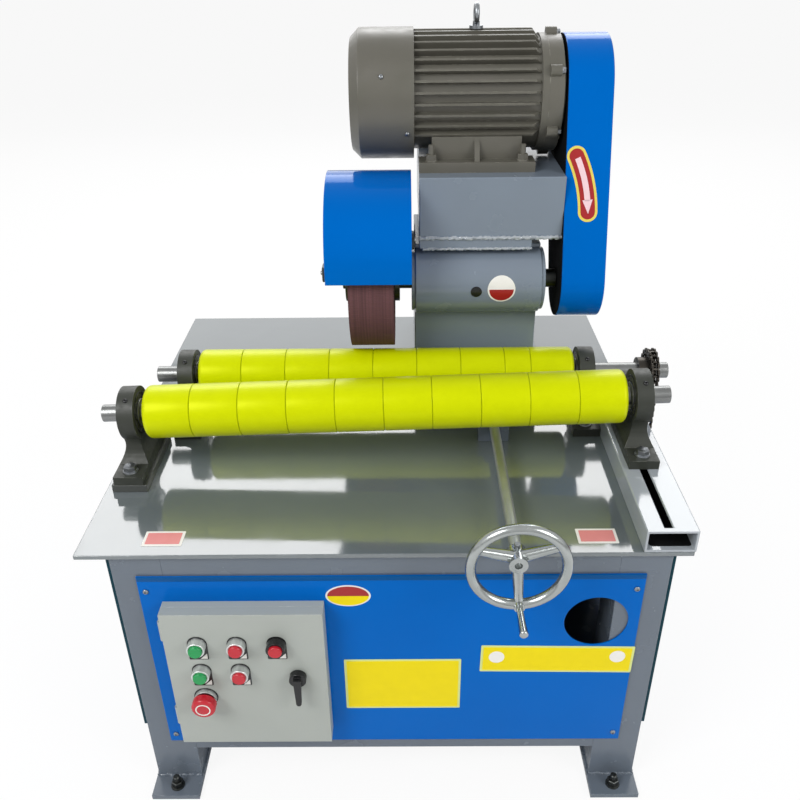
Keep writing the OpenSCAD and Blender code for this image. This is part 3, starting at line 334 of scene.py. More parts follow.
def edit(piece):
    """Opens a piece's mesh for editing."""
    take(piece)
    bpy.ops.object.mode_set(mode="EDIT")


def leave():
    """Ends the editing of a mesh."""
    bpy.ops.object.mode_set(mode="OBJECT")


def pick_all():
    """In edit mode, selects the whole mesh."""
    bpy.ops.mesh.select_all(action="SELECT")


def pick(piece, kind, test):
    """In edit mode, selects the faces, edges or verts that pass a test."""
    bpy.ops.mesh.select_mode(type={"faces": "FACE", "edges": "EDGE", "verts": "VERT"}[kind])
    bpy.ops.mesh.select_all(action="DESELECT")
    mesh = bmesh.from_edit_mesh(piece.data)
    for element in getattr(mesh, kind):
        if test(element):
            element.select_set(True)
    mesh.select_flush_mode()
    bmesh.update_edit_mesh(piece.data)


def facing(direction):
    """Faces that look in a direction."""
    return lambda face: face.normal.dot(direction) > 0.9


def along(direction):
    """Edges that run along a direction."""
    return lambda edge: abs((edge.verts[1].co - edge.verts[0].co).normalized().dot(direction)) > 0.99


def bevel(width, segments=2):
    """In edit mode, rounds the picked edges."""
    bpy.ops.mesh.bevel(offset=width, segments=segments, affect="EDGES")


def crown(piece, *steps):
    """Opens a piece, and insets and lifts its top face, once for each pair of inset and rise."""
    edit(piece)
    pick(piece, "faces", facing(UP))
    for inset, rise in steps:
        bpy.ops.mesh.inset(thickness=inset)
        bpy.ops.transform.translate(value=(0, 0, rise))


def apply(piece, kind, **settings):
    """Adds a modifier and applies it."""
    take(piece)
    modifier = piece.modifiers.new(kind.lower(), kind)
    for name, value in settings.items():
        setattr(modifier, name, value)
    bpy.ops.object.modifier_apply(modifier=modifier.name)


def smooth(piece, angle=35):
    """Shades a piece smooth, but for edges sharper than an angle in degrees."""
    take(piece)
    bpy.ops.object.shade_smooth_by_angle(angle=math.radians(angle))


def soften(piece, width):
    """Rounds the sharp edges, and keeps the flats flat to the eye."""
    smooth(piece)
    apply(piece, "BEVEL", width=width, segments=2, limit_method="ANGLE", angle_limit=math.radians(40),
          use_clamp_overlap=True)
    apply(piece, "WEIGHTED_NORMAL", keep_sharp=True)


def merge(name, pieces):
    """Joins pieces into one."""
    take(*pieces)
    if len(pieces) > 1:
        bpy.ops.object.join()
    pieces[0].name = name
    return pieces[0]


def copies(master, name, places):
    """One piece of copies of a modelled shape, each with its +Z turned to an axis at a point.
    The shape itself goes."""
    made = []
    for point, axis in places:
        take(master)
        bpy.ops.object.duplicate()
        copy = bpy.context.object
        turn = Vector(axis).to_track_quat("Z", "Y").to_matrix().to_4x4()
        copy.matrix_world = Matrix.Translation(point) @ turn
        settle(copy)
        made.append(copy)
    bpy.data.objects.remove(master)
    return merge(name, made)


def hang(piece, finish, body):
    """Gives a finished piece its material and the body that carries it."""
    settle(piece)
    piece.data.materials.clear()
    piece.data.materials.append(finish)
    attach(piece, body)
    return piece


def middle(node):
    """Middle of a node's box."""
    low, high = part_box(node)
    return (low + high) / 2


def spoke(turn):
    """Direction across the X axis, in degrees from straight up towards the rear."""
    return Vector((0, math.sin(math.radians(turn)), math.cos(math.radians(turn))))


# The frame's own solids, with their edges broken and painted


MERGE = 0.01 * MM
FLAT = math.radians(0.4)

COATS = [
    # finish, slot, {node: edge round in mm}
    (grey_enamel, "grey_paint", {
        "foot_plates": 1.0, "legs": 0.8, "cross_rails": 0.3, "side_rails": 3.0,
        "drive_shelf": 0.6, "slide_base": 1.5, "screw_support": 1.2}),
    # The head's paler enamel is painted light
    (head_grey_painted_light, "grey_paint", {"saddle": 2.0, "pedestal": 2.0, "spindle_housing": 1.2, "motor_seat": 1.8}),
    (table_enamel, "grey_paint", {"table_plate": 1.2}),
    (rail_enamel, "grey_paint", {"slotted_rail": 1.6}),
    (dark_packer_paint, "grey_paint", {"packer_plate": 1.0}),
    (blue_enamel, "blue_paint", {
        "front_panel": 1.0, "rear_panel": 1.0, "left_panel": 1.0, "right_panel": 1.0, "wheel_hood": 0.8,
        "belt_guard": 2.0}),
    (powder_coat, "box_paint", {"control_box": 1.2, "control_door": 1.2}),
    (motor_enamel, "motor_paint", {
        "motor_frame": 0.8, "fan_cover": 0.6, "end_shield": 1.0, "terminal_box": 2.0}),
    (cast_enamel, "cast_housing", {
        "front_left_block": 1.6, "front_right_block": 1.6, "rear_left_block": 1.6, "rear_right_block": 1.6,
        "drive_unit": 4.0}),
    (turned_steel, "bright_steel", {"front_shaft": 0.8, "rear_shaft": 0.8}),
    (black_steel, "bright_steel", {"spindle": 0.8}),
    (screw_steel, "bright_steel", {"lead_screw": 0.0}),
    (zinc_plate, "bright_steel", {"lifting_eye": 0.0}),
    (chrome_plate, "chrome", {"handwheel": 0.0, "crank_handle": 0.0}),
    (satin_chrome, "chrome", {"button_bezels": 0.8}),
    (chain_steel, "chain_steel", {"chain": 0.0, "roller_sprocket": 0.0, "drive_sprocket": 0.0}),
    (polyurethane, "yellow_sleeve", {"front_sleeves": 0.0, "rear_sleeves": 0.0}),
    (black_nylon, "black_plastic", {"stop_collar": 0.6, "door_lock": 1.6}),
    (green_acrylic, "green_button", {"button_1": 1.4, "button_4": 1.4}),
    (red_acrylic, "red_button", {"button_2": 1.4, "button_3": 1.4, "button_5": 1.4, "emergency_stop": 0.0}),
]


def coat(node, finish, edge_round):
    """A painted copy of a node: its triangles joined into faces, its edges rounded, its curves smooth."""
    source = frame["nodes"][node]
    body = source["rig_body"]
    take(source)
    bpy.ops.object.duplicate()
    piece = bpy.context.object
    piece.parent = None
    del piece["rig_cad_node"]
    piece.name = node + "_finish"
    bpy.ops.mesh.customdata_custom_splitnormals_clear()
    edit(piece)
    pick_all()
    bpy.ops.mesh.remove_doubles(threshold=MERGE)
    if edge_round:
        bpy.ops.mesh.dissolve_limited(angle_limit=FLAT)
    leave()
    if edge_round:
        soften(piece, edge_round * MM)
    else:
        smooth(piece)
    hang(piece, finish, body)
    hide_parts(node)
    return piece


coated = {node: coat(node, finish, edge_round)
          for finish, slot, nodes in COATS for node, edge_round in nodes.items()}


# Fasteners


PANEL_SCREW = {"across": 9 * MM, "height": 3.2 * MM}
SMALL_SCREW = {"across": 8 * MM, "height": 3 * MM}
BLOCK_BOLT = {"across": 19 * MM, "height": 8 * MM, "washer_d": 26 * MM, "washer_t": 2.5 * MM}
LUG_SCREW = {"across": 10 * MM, "height": 5 * MM, "washer_d": 14 * MM, "washer_t": 1.2 * MM}
SET_SCREW = {"across": 9 * MM, "height": 6 * MM}
MOTOR_NUT = {"across": 17 * MM, "height": 9 * MM, "washer_d": 22 * MM, "washer_t": 2 * MM,
             "stud_d": 10 * MM, "stud_h": 27 * MM}
ANCHOR_NUT = {"across": 18 * MM, "height": 10 * MM, "washer_d": 25 * MM, "washer_t": 2.5 * MM,
              "stud_d": 12 * MM, "stud_h": 24 * MM}


def hex_head(name, across, height, washer_d=0.0, washer_t=0.0, stud_d=0.0, stud_h=0.0):
    """Hexagon head or nut with a chamfered top, seated on z = 0, and its washer and stud where given."""
    head = stub(name, 6, across / math.sqrt(3), height, washer_t)
    crown(head, (across * 0.08, height * 0.1))
    leave()
    parts = [head]
    if washer_d:
        washer = stub(name + "_washer", 28, washer_d / 2, washer_t)
        edit(washer)
        pick(washer, "edges", lambda e: all(v.co.z > washer_t * 0.9 for v in e.verts))
        bevel(washer_t * 0.4)
        leave()
        parts.append(washer)
    if stud_d:
        stud = stub(name + "_stud", 20, stud_d / 2, stud_h)
        crown(stud, (stud_d * 0.12, stud_d * 0.12))
        leave()
        parts.append(stud)
    made = merge(name, parts)
    smooth(made, 30)
    return made


def pan_head(name, across, height):
    """Low domed screw head seated on z = 0, with a round socket."""
    head = stub(name, 24, across / 2, height / 2)
    crown(head, (across * 0.10, height * 0.32), (across * 0.17, height * 0.18))
    bpy.ops.mesh.inset(thickness=across * 0.04)
    bpy.ops.mesh.extrude_region_move(TRANSFORM_OT_translate={"value": (0, 0, -height * 0.55)})
    leave()
    smooth(head, 40)
    return head


def fasten(name, head, places, finish, body):
    """One piece of like fasteners, each seated at a point and looking along an axis."""
    hang(copies(head, name, places), finish, body)


# Screws in the corners of the four panels
SCREW_IN = 12 * MM
SCREW_DOWN = 30 * MM
SCREW_UP = 19 * MM
PANELS = (("front_panel", FRONT), ("rear_panel", REAR), ("left_panel", LEFT), ("right_panel", RIGHT))


def panel_corners(node, out):
    """Places of four screws in the corners of a panel, on the side that looks out."""
    low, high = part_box(node)
    face = low if min(out) < 0 else high
    across = (face.x,) if out.x else (low.x + SCREW_IN, high.x - SCREW_IN)
    deep = (face.y,) if out.y else (low.y + SCREW_IN, high.y - SCREW_IN)
    heights = (low.z + SCREW_UP, high.z - SCREW_DOWN)
    return [(Vector((x, y, z)), out) for x in across for y in deep for z in heights]


screw_places = [place for node, out in PANELS for place in panel_corners(node, out)]
fasten("panel_screws", pan_head("panel_screw", **PANEL_SCREW), screw_places,
       zinc_plate, "root")


# Folded top edge of the front panel, in darker blue as painted shade under the table's edge, and the cut
# front edges of the side panels


FOLD_H = 9 * MM
FOLD_T = 0.9 * MM
FOLD_IN = 1 * MM
FOLD_ROUND = 0.4 * MM
EDGE_T = 0.5 * MM
EDGE_ROUND = 0.2 * MM


def strip(name, low, high, edge, finish):
    """Thin strip of sheet with its front edges rounded."""
    piece = block(name, low, high)
    edit(piece)
    pick(piece, "faces", facing(FRONT))
    bevel(edge)
    leave()
    smooth(piece)
    hang(piece, finish, "root")


panel_low, panel_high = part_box("front_panel")
strip("panel_fold_painted_shade", (panel_low.x + FOLD_IN, panel_low.y - FOLD_T, panel_high.z - FOLD_H),
      (panel_high.x - FOLD_IN, panel_low.y, panel_high.z), FOLD_ROUND, shaded_blue)
for name, node in (("left_edge", "left_panel"), ("right_edge", "right_panel")):
    low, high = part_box(node)
    strip(name, (low.x, low.y - EDGE_T, low.z), (high.x, low.y, high.z), EDGE_ROUND, cut_edge)

# Bolts through the feet of the four bearing blocks
BLOCKS = ("front_left_block", "front_right_block", "rear_left_block", "rear_right_block")
BLOCK_BOLT_SPAN = 126 * MM
BLOCK_FOOT_T = 16 * MM
block_bolt_places = []
for node in BLOCKS:
    centre = middle(node)
    foot_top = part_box(node)[0].z + BLOCK_FOOT_T
    for y in (centre.y - BLOCK_BOLT_SPAN / 2, centre.y + BLOCK_BOLT_SPAN / 2):
        block_bolt_places.append((Vector((centre.x, y, foot_top)), UP))
fasten("block_bolts", hex_head("block_bolt", **BLOCK_BOLT), block_bolt_places,
       zinc_plate, "root")

# Studs and nuts on the motor's feet
frame_low, frame_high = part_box("motor_frame")
MOTOR_FEET_X = 153.5 * MM
MOTOR_STUD_SPAN = 160 * MM
MOTOR_STUD_IN = 13 * MM
MOTOR_FOOT_H = 18 * MM
stud_places = [(Vector((x, y, frame_low.z + MOTOR_FOOT_H)), UP)
               for x in (MOTOR_FEET_X - MOTOR_STUD_SPAN / 2, MOTOR_FEET_X + MOTOR_STUD_SPAN / 2)
               for y in (frame_low.y + MOTOR_STUD_IN, frame_high.y - MOTOR_STUD_IN)]
fasten("motor_foot_nuts", hex_head("motor_nut", **MOTOR_NUT), stud_places,
       motor_enamel, "head")

# Screws in the end shield's lugs, and round the fan cover at a turn and a distance from its inner end
SHAFT_H = 112 * MM
LUG_R = 100 * MM
LUG_STEP = 60
LUG_L = 19 * MM
COVER_R = 112 * MM
COVER_SCREWS = ((-66, 56 * MM), (-116, 12 * MM), (65, 12 * MM), (115, 12 * MM))
motor_axis = Vector((0, (frame_low.y + frame_high.y) / 2, frame_low.z + SHAFT_H))
lug_face = motor_axis + RIGHT * (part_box("end_shield")[0].x + LUG_L)
lug_places = [(lug_face + spoke(turn) * LUG_R, RIGHT) for turn in range(0, 360, LUG_STEP)]
fasten("end_shield_screws", hex_head("lug_screw", **LUG_SCREW), lug_places,
       zinc_plate, "head")
cover_end = motor_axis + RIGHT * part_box("fan_cover")[1].x
cover_places = [(cover_end + LEFT * back + spoke(turn) * COVER_R, spoke(turn)) for turn, back in COVER_SCREWS]
fasten("fan_cover_screws", pan_head("cover_screw", **SMALL_SCREW), cover_places,
       zinc_plate, "head")

# Bolts in the foot plates' anchor holes
ANCHOR_IN = 21.5 * MM
ANCHOR_X = 397 * MM
foot_low, foot_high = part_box("foot_plates")
anchor_places = [(Vector((x, y, foot_high.z)), UP)
                 for x in (-ANCHOR_X, ANCHOR_X) for y in (foot_low.y + ANCHOR_IN, foot_high.y - ANCHOR_IN)]
fasten("anchor_nuts", hex_head("anchor_nut", **ANCHOR_NUT), anchor_places,
       black_steel, "root")

# Screws in the terminal box's lid, and a set screw in the handwheel's hub
LID_IN = 8 * MM
LID_H = 104 * MM
lid_low, lid_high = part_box("terminal_box")
lid_places = [(Vector((x, lid_high.y, z)), REAR) for x in (lid_low.x + LID_IN, lid_high.x - LID_IN)
              for z in (lid_high.z - LID_IN, lid_high.z - LID_H + LID_IN)]
fasten("lid_screws", pan_head("lid_screw", **SMALL_SCREW), lid_places, zinc_plate, "head")

HUB_R = 14 * MM
HUB_SET_IN = 8 * MM
screw_mid = middle("lead_screw")
hub_top = Vector((screw_mid.x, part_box("handwheel")[1].y - HUB_SET_IN, screw_mid.z + HUB_R))
fasten("hub_set_screw", hex_head("set_screw", **SET_SCREW), [(hub_top, UP)],
       zinc_plate, "hand_screw")


# Bearings: a seal in each face of the blocks' rings, and a grease plug on top


def washer_ring(name, outer_r, inner_r, thickness, edge):
    """Flat ring round +Z on z = 0: a disc whose two faces are inset and bridged into a hole."""
    ring = stub(name, 72, outer_r, thickness)
    edit(ring)
    pick(ring, "faces", lambda face: abs(face.normal.z) > 0.9)
    bpy.ops.mesh.inset(thickness=outer_r - inner_r, use_individual=True)
    bpy.ops.mesh.bridge_edge_loops()
    pick_all()
    bpy.ops.mesh.normals_make_consistent(inside=False)
    leave()
    soften(ring, edge)
    return ring


SEAL_OUTER_R = 36 * MM
SEAL_INNER_R = 24.6 * MM
SEAL_T = 1.2 * MM
SEAL_ROUND = 0.3 * MM
RING_HALF = 14 * MM
RING_R = 46 * MM
BORE_H = 95 * MM
PLUG_TURN = -35
PLUG_SINK = 0.5 * MM
FRONT_RISE = 26 * MM
FRONT_SPAN = 868 * MM
front_tilt = math.atan2(FRONT_RISE, FRONT_SPAN)
seal_places = []
plug_places = []
for node in BLOCKS:
    bore = middle(node)
    bore.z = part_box(node)[0].z + BORE_H
    lean = front_tilt if node.startswith("front") else 0.0
    axis = Vector((math.cos(lean), 0, math.sin(lean)))
    for side in (-1, 1):
        seal_places.append((bore + axis * side * RING_HALF, axis * side))
    plug_places.append((bore + spoke(PLUG_TURN) * (RING_R - PLUG_SINK), spoke(PLUG_TURN)))
seal = washer_ring("bearing_seal", SEAL_OUTER_R, SEAL_INNER_R, SEAL_T, SEAL_ROUND)
fasten("bearing_seals", seal, seal_places, black_nylon, "root")
fasten("grease_plugs", pan_head("grease_plug", **SMALL_SCREW), plug_places,
       black_nylon, "root")


# Yellow core under the sleeves, so that their joints show as thin lines


CORE_R = 43.5 * MM
CORE_SHORTER = 30 * MM
CORE_ROUND = 3 * MM


def sleeve_core(name, node, lean, body):
    """Rounded bar inside a roller's sleeves, a little shorter than they are."""
    low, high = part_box(node)
    core = start("cylinder", name, vertices=72, radius=CORE_R, depth=high.x - low.x - CORE_SHORTER)
    edit(core)
    pick(core, "edges", lambda e: not along(UP)(e))
    bevel(CORE_ROUND)
    leave()
    core.rotation_euler = (0, QUARTER_TURN - lean, 0)
    core.location = (low + high) / 2
    hang(core, polyurethane, body)
    smooth(core)


sleeve_core("front_core", "front_sleeves", front_tilt, "front_roller")
sleeve_core("rear_core", "rear_sleeves", 0.0, "rear_roller")


# Weld beads


def weld_bead(name, begin, end, radius):
    """Bead of a hand weld: a bar cut into many rings that are pushed about a little."""
    begin, end = Vector(begin), Vector(end)
    run = end - begin
    bead = start("cylinder", name, vertices=10, radius=radius, depth=run.length)
    edit(bead)
    pick(bead, "edges", along(UP))
    bpy.ops.mesh.subdivide(number_cuts=max(2, int(run.length / (radius * 0.6))))
    pick_all()
    bpy.ops.transform.vertex_random(offset=radius * 0.42, uniform=0.3, normal=0.6, seed=SEED,
                                    wait_for_input=False)
    leave()
    turn = run.to_track_quat("Z", "Y").to_matrix().to_4x4()
    bead.matrix_world = Matrix.Translation((begin + end) / 2) @ turn
    settle(bead)
    smooth(bead, 60)
    return bead


LEG = 80 * MM
LEG_BEAD_R = 3.2 * MM
legs_low, legs_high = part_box("legs")
leg_beads = []
for x in (legs_low.x, legs_high.x - LEG):
    for y in (legs_low.y, legs_high.y - LEG):
        ring = [(x, y), (x + LEG, y), (x + LEG, y + LEG), (x, y + LEG), (x, y)]
        for begin, end in zip(ring, ring[1:]):
            leg_beads.append(weld_bead("leg_bead", (*begin, legs_low.z), (*end, legs_low.z), LEG_BEAD_R))
hang(merge("leg_welds", leg_beads), grey_enamel, "root")

SEAT_PLATE_T = 20 * MM
SEAT_PLATE_W = 202 * MM
SEAT_BEAD_R = 3.4 * MM
PLATE_BEAD_R = 2.4 * MM
PLATE_BEAD_IN = 6 * MM
seat_low, seat_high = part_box("motor_seat")
seat_floor = seat_low.z + SEAT_PLATE_T
seat_beads = [
    weld_bead("seat_bead", (seat_low.x, seat_low.y, seat_floor), (seat_high.x, seat_low.y, seat_floor),
              SEAT_BEAD_R),
    weld_bead("plate_bead", (seat_low.x + PLATE_BEAD_IN, seat_low.y, seat_low.z),
              (seat_low.x + SEAT_PLATE_W, seat_low.y, seat_low.z), PLATE_BEAD_R),
]
hang(merge("seat_welds", seat_beads), rail_enamel, "head")


# Abrasive flap wheel


FLAP_COUNT = 168
FLAP_FILL = 0.80
FLAP_ROOT_R = 52 * MM
FLAP_IN = 0.4 * MM
FLAP_STRAY = 0.08 * MM
FLAP_PROUD = 0.15 * MM
CORE_NARROWER = 2 * MM


def flap_wheel():
    """Cloth flaps set round a core, spun from one flap."""
    low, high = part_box("abrasive_wheel")
    axle = (low + high) / 2
    outer_r = (high.z - low.z) / 2 - FLAP_IN
    flap_t = 2 * math.pi * outer_r / FLAP_COUNT * FLAP_FILL
    flap = block("flap", (low.x, -flap_t / 2, FLAP_ROOT_R), (high.x, flap_t / 2, outer_r))
    edit(flap)
    pick(flap, "edges", along(RIGHT))
    bevel(flap_t * 0.22, 1)
    pick_all()
    bpy.ops.mesh.spin(steps=FLAP_COUNT - 1, dupli=True, angle=2 * math.pi * (FLAP_COUNT - 1) / FLAP_COUNT,
                      center=(0, 0, 0), axis=RIGHT)
    pick_all()
    bpy.ops.transform.vertex_random(offset=FLAP_STRAY, uniform=1.0, normal=0.0, seed=SEED,
                                    wait_for_input=False)
    leave()
    core = start("cylinder", "flap_core", vertices=96, radius=outer_r - FLAP_PROUD,
                 depth=high.x - low.x - CORE_NARROWER, rotation=(0, QUARTER_TURN, 0), location=(axle.x, 0, 0))
    settle(core)
    edit(core)
    pick(core, "faces", lambda face: abs(face.normal.x) > 0.9)
    bpy.ops.mesh.inset(thickness=outer_r - FLAP_ROOT_R, use_individual=True)
    leave()
    wheel = merge("abrasive_flaps", [flap, core])
    wheel.location = (0, axle.y, axle.z)
    settle(wheel)
    smooth(wheel, 30)
    return wheel


wheel = hang(flap_wheel(), abrasive, "wheel_spindle")
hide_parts("abrasive_wheel")


# Clips on the hood's two sides, each a folded plate with a screw


CLIP_T = 4 * MM
CLIP_ROUND = 4 * MM
CLIP_RIM = 3 * MM
CLIP_RISE = 1.2 * MM
LEFT_CLIP = {"depths": (8 * MM, 34 * MM), "heights": (77 * MM, 104 * MM)}
RIGHT_CLIP = {"depths": (70 * MM, 96 * MM), "heights": (112 * MM, 140 * MM)}
hood_low, hood_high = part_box("wheel_hood")


def clip(name, face_x, out, depths, heights):
    """Clip on a side of the hood, between two depths from its front and two heights from its foot."""
    sides = sorted((face_x, face_x + out.x * CLIP_T))
    corners = [Vector((x, hood_low.y + y, hood_low.z + z)) for x, y, z in zip(sides, depths, heights)]
    plate = block(name, *corners)
    edit(plate)
    pick(plate, "edges", along(RIGHT))
    bevel(CLIP_ROUND, 3)
    pick(plate, "faces", facing(out))
    bpy.ops.mesh.inset(thickness=CLIP_RIM)
    bpy.ops.transform.translate(value=out * CLIP_RISE)
    leave()
    smooth(plate, 30)
    hang(plate, black_steel, "head")
    point = (corners[0] + corners[1]) / 2 + out * (CLIP_T / 2 + CLIP_RISE)
    fasten(name + "_screws", pan_head(name + "_screw", **SMALL_SCREW), [(point, out)],
           zinc_plate, "head")


clip("left_clip", hood_low.x, LEFT, **LEFT_CLIP)
clip("right_clip", hood_high.x, RIGHT, **RIGHT_CLIP)


# Printed films: plain plates, discs and an arrow


FILM = 0.5 * MM


def card(name, width, height, corner):
    """Rounded rectangle film facing +Z, on z = 0."""
    film = block(name, (-width / 2, -height / 2, 0), (width / 2, height / 2, FILM))
    edit(film)
    pick(film, "edges", along(UP))
    bevel(corner, 4)
    leave()
    return film


def halve(keep, fill):
    """In edit mode, cuts a film along its middle and keeps the upper or the lower half."""
    pick_all()
    bpy.ops.mesh.bisect(plane_co=(0, 0, 0), plane_no=(0, 1, 0), use_fill=fill,
                        clear_inner=keep == "upper", clear_outer=keep == "lower")


def disc(name, rx, ry, lift=0.0, keep=None):
    """Round or oval film facing +Z, whole with a rounded rim, or only its upper or lower half."""
    film = stub(name, 64, 1, FILM, lift)
    film.scale = (rx, ry, 1)
    settle(film)
    edit(film)
    if keep:
        halve(keep, True)
    else:
        pick(film, "faces", facing(UP))
        bevel(FILM * 0.4)
    leave()
    return film


def stick(film, point, out, up=UP):
    """Turns a film so that it faces out and stands upright, and puts it in its place."""
    out = Vector(out).normalized()
    side = Vector(up).cross(out).normalized()
    top = out.cross(side)
    film.matrix_world = Matrix.Translation(point) @ Matrix((side, top, out)).transposed().to_4x4()
    settle(film)
    return film


# Framed yellow plates on the front panel, one with two white spots, and a two-tone oval
PLATE_RIM = 4 * MM
PLATE_CORNER = 2 * MM
PLATE_FACE_CORNER = 1.5 * MM
WIDE_PLATE = {"x": 17 * MM, "z": 252 * MM, "width": 196 * MM, "height": 118 * MM}
HOLE_PLATE = {"x": 274 * MM, "z": 310 * MM, "width": 254 * MM, "height": 60 * MM, "turn": math.radians(-1.0)}
SPOT_R = 13 * MM
SPOT_Z = 316 * MM
OVAL_X, OVAL_Z = -68 * MM, 453 * MM
OVAL_RX, OVAL_RY = 36 * MM, 22 * MM
OVAL_FACE_RX, OVAL_FACE_RY = 33 * MM, 19.5 * MM


def on_panel(x, z, lift=0.0):
    """Point on the front panel's face, or a little in front of it."""
    return Vector((x, panel_low.y - lift, z))


def framed_plate(name, x, z, width, height, turn=0.0):
    """Plain yellow plate with a pale border."""
    up = Matrix.Rotation(turn, 3, FRONT) @ UP
    border = card(name + "_border", width, height, PLATE_CORNER)
    hang(stick(border, on_panel(x, z), FRONT, up), lime_vinyl, "root")
    face = card(name + "_face", width - 2 * PLATE_RIM, height - 2 * PLATE_RIM, PLATE_FACE_CORNER)
    hang(stick(face, on_panel(x, z, FILM), FRONT, up), yellow_vinyl, "root")


framed_plate("wide_plate", **WIDE_PLATE)
framed_plate("hole_plate", **HOLE_PLATE)
for name, x in (("left_spot", 173.5 * MM), ("right_spot", 374 * MM)):
    spot = disc(name, SPOT_R, SPOT_R)
    hang(stick(spot, on_panel(x, SPOT_Z, 2 * FILM), FRONT), white_vinyl, "root")

oval_at = on_panel(OVAL_X, OVAL_Z)
hang(stick(disc("oval_rim", OVAL_RX, OVAL_RY), oval_at, FRONT), white_vinyl, "root")
for half, finish, slot in (("upper", red_vinyl, "red_button"), ("lower", yellow_vinyl, "yellow_sleeve")):
    film = disc("oval_" + half, OVAL_FACE_RX, OVAL_FACE_RY, FILM, half)
    hang(stick(film, oval_at, FRONT), finish, "root")

# Pale red cards with a white edge, near the table's front corners
CARD_Y = -400 * MM
CARD_W, CARD_H, CARD_CORNER = 63 * MM, 36 * MM, 1.5 * MM
CARD_FACE_W, CARD_FACE_H, CARD_FACE_CORNER = 54 * MM, 27 * MM, 1 * MM
table_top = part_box("table_plate")[1].z
for name, x in (("left_card", -357 * MM), ("right_card", 324 * MM)):
    at = Vector((x, CARD_Y, table_top))
    edge = card(name + "_edge", CARD_W, CARD_H, CARD_CORNER)
    hang(stick(edge, at, UP, REAR), white_vinyl, "root")
    face = card(name + "_face", CARD_FACE_W, CARD_FACE_H, CARD_FACE_CORNER)
    hang(stick(face, at + UP * FILM, UP, REAR), pink_vinyl, "root")


# Plain two-tone disc and a dark plug, bent over the spindle housing's front


DISC_RINGS = 5
DISC_RING_SHARE = 0.17
STAND_OFF = 5 * MM


def sheet_disc(name, radius, keep=None):
    """Thin disc facing +Z with rings of edges, so that it can bend over a curved face."""
    film = start("circle", name, vertices=64, radius=radius, fill_type="NGON")
    edit(film)
    pick_all()
    for ring in range(DISC_RINGS):
        bpy.ops.mesh.inset(thickness=radius * DISC_RING_SHARE)
    if keep:
        halve(keep, False)
    leave()
    return film


def on_housing(film, x, z, lift, finish):
    """Presses a thin film from the front onto the spindle housing, and gives it its thickness."""
    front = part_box("spindle_housing")[0].y - STAND_OFF
    stick(film, Vector((x, front, z)), FRONT)
    apply(film, "SHRINKWRAP", target=coated["spindle_housing"], wrap_method="PROJECT", use_project_y=True,
          use_positive_direction=True, use_negative_direction=False, offset=lift)
    apply(film, "SOLIDIFY", thickness=FILM, offset=-1)
    smooth(film, 30)
    hang(film, finish, "head")


DISC_X, DISC_Z = 200 * MM, 800 * MM
DISC_R, DISC_LIFT = 25 * MM, 0.6 * MM
LOWER_R, LOWER_LIFT = 22 * MM, 1.1 * MM
CAP_X, CAP_Z = 154.5 * MM, 796 * MM
CAP_R, CAP_LIFT = 10 * MM, 1.0 * MM
on_housing(sheet_disc("disc_ground", DISC_R), DISC_X, DISC_Z, DISC_LIFT, white_vinyl)
on_housing(sheet_disc("disc_lower", LOWER_R, "lower"), DISC_X, DISC_Z, LOWER_LIFT, red_vinyl)
on_housing(sheet_disc("grease_cap", CAP_R), CAP_X, CAP_Z, CAP_LIFT, black_nylon)


# Bent arrow on the belt guard's flat front, which shows the way the wheel turns


ARC_R = 236.4 * MM
ARC_FROM = math.radians(1.6)
ARC_TO = math.radians(25.4)
ARC_AT = Vector((-195.2 * MM, 114.5 * MM, 0))
ARC_STEPS = 16
BORDER_HALF = 17 * MM
GROUND_HALF = 12.5 * MM
SHAFT_HALF = 5 * MM
SHAFT_FROM = math.radians(6.2)
SHAFT_TO = math.radians(24.5)
TIP_AT = math.radians(4.7)
TIP_HALF = 9 * MM
TIP_L = 24 * MM
GUARD_POINT = Vector((306 * MM, -27.3 * MM, 816.3 * MM))
GUARD_OUT = Vector((0, -0.9614, 0.2754))


def to_arc(piece, turn):
    """Moves a shape at the origin out to the arc, at a turn round the arc's middle."""
    piece.matrix_world = Matrix.Rotation(turn, 4, UP) @ Matrix.Translation((ARC_R, 0, 0))
    settle(piece)
    return piece


def arc_band(name, half, first, last, lift):
    """Bent strip of film: a short upright edge spun round the arc's middle."""
    band = start("plane", name, size=1, rotation=(QUARTER_TURN, 0, 0), location=(0, 0, FILM / 2 + lift))
    band.scale = (2 * half, FILM, 1)
    settle(band)
    to_arc(band, first)
    edit(band)
    pick_all()
    bpy.ops.mesh.spin(steps=ARC_STEPS, angle=first - last, center=(0, 0, 0), axis=UP)
    pick_all()
    bpy.ops.mesh.normals_make_consistent(inside=False)
    leave()
    return band


def arc_ends(name, half, lift):
    """Half discs that round off the two ends of a bent strip."""
    return [to_arc(disc(name + "_end", half, half, lift, keep), turn)
            for turn, keep in ((ARC_FROM, "lower"), (ARC_TO, "upper"))]


def arrow_tip(name, lift):
    """Three-cornered tip that points down the arc."""
    tip = stub(name, 3, 1, FILM, lift)
    tip.scale = (TIP_HALF / math.cos(math.radians(30)), TIP_L / 1.5, 1)
    tip.rotation_euler = (0, 0, math.pi)
    settle(tip)
    return to_arc(tip, TIP_AT)


def on_guard(name, parts, finish):
    """Joins the shapes of one film and lays it on the guard's front."""
    film = merge(name, parts)
    film.location = ARC_AT
    settle(film)
    hang(stick(film, GUARD_POINT, GUARD_OUT), finish, "head")


for name, half, lift, finish, slot in (("arrow_border", BORDER_HALF, 0.0, straw_vinyl, "yellow_sleeve"),
                                       ("arrow_ground", GROUND_HALF, FILM, red_vinyl, "red_button")):
    on_guard(name, [arc_band(name, half, ARC_FROM, ARC_TO, lift)] + arc_ends(name, half, lift), finish)
arrow_shaft = arc_band("arrow_shaft", SHAFT_HALF, SHAFT_FROM, SHAFT_TO, 2 * FILM)
on_guard("arrow_mark", [arrow_shaft, arrow_tip("arrow_tip", 2 * FILM)], blush_vinyl)
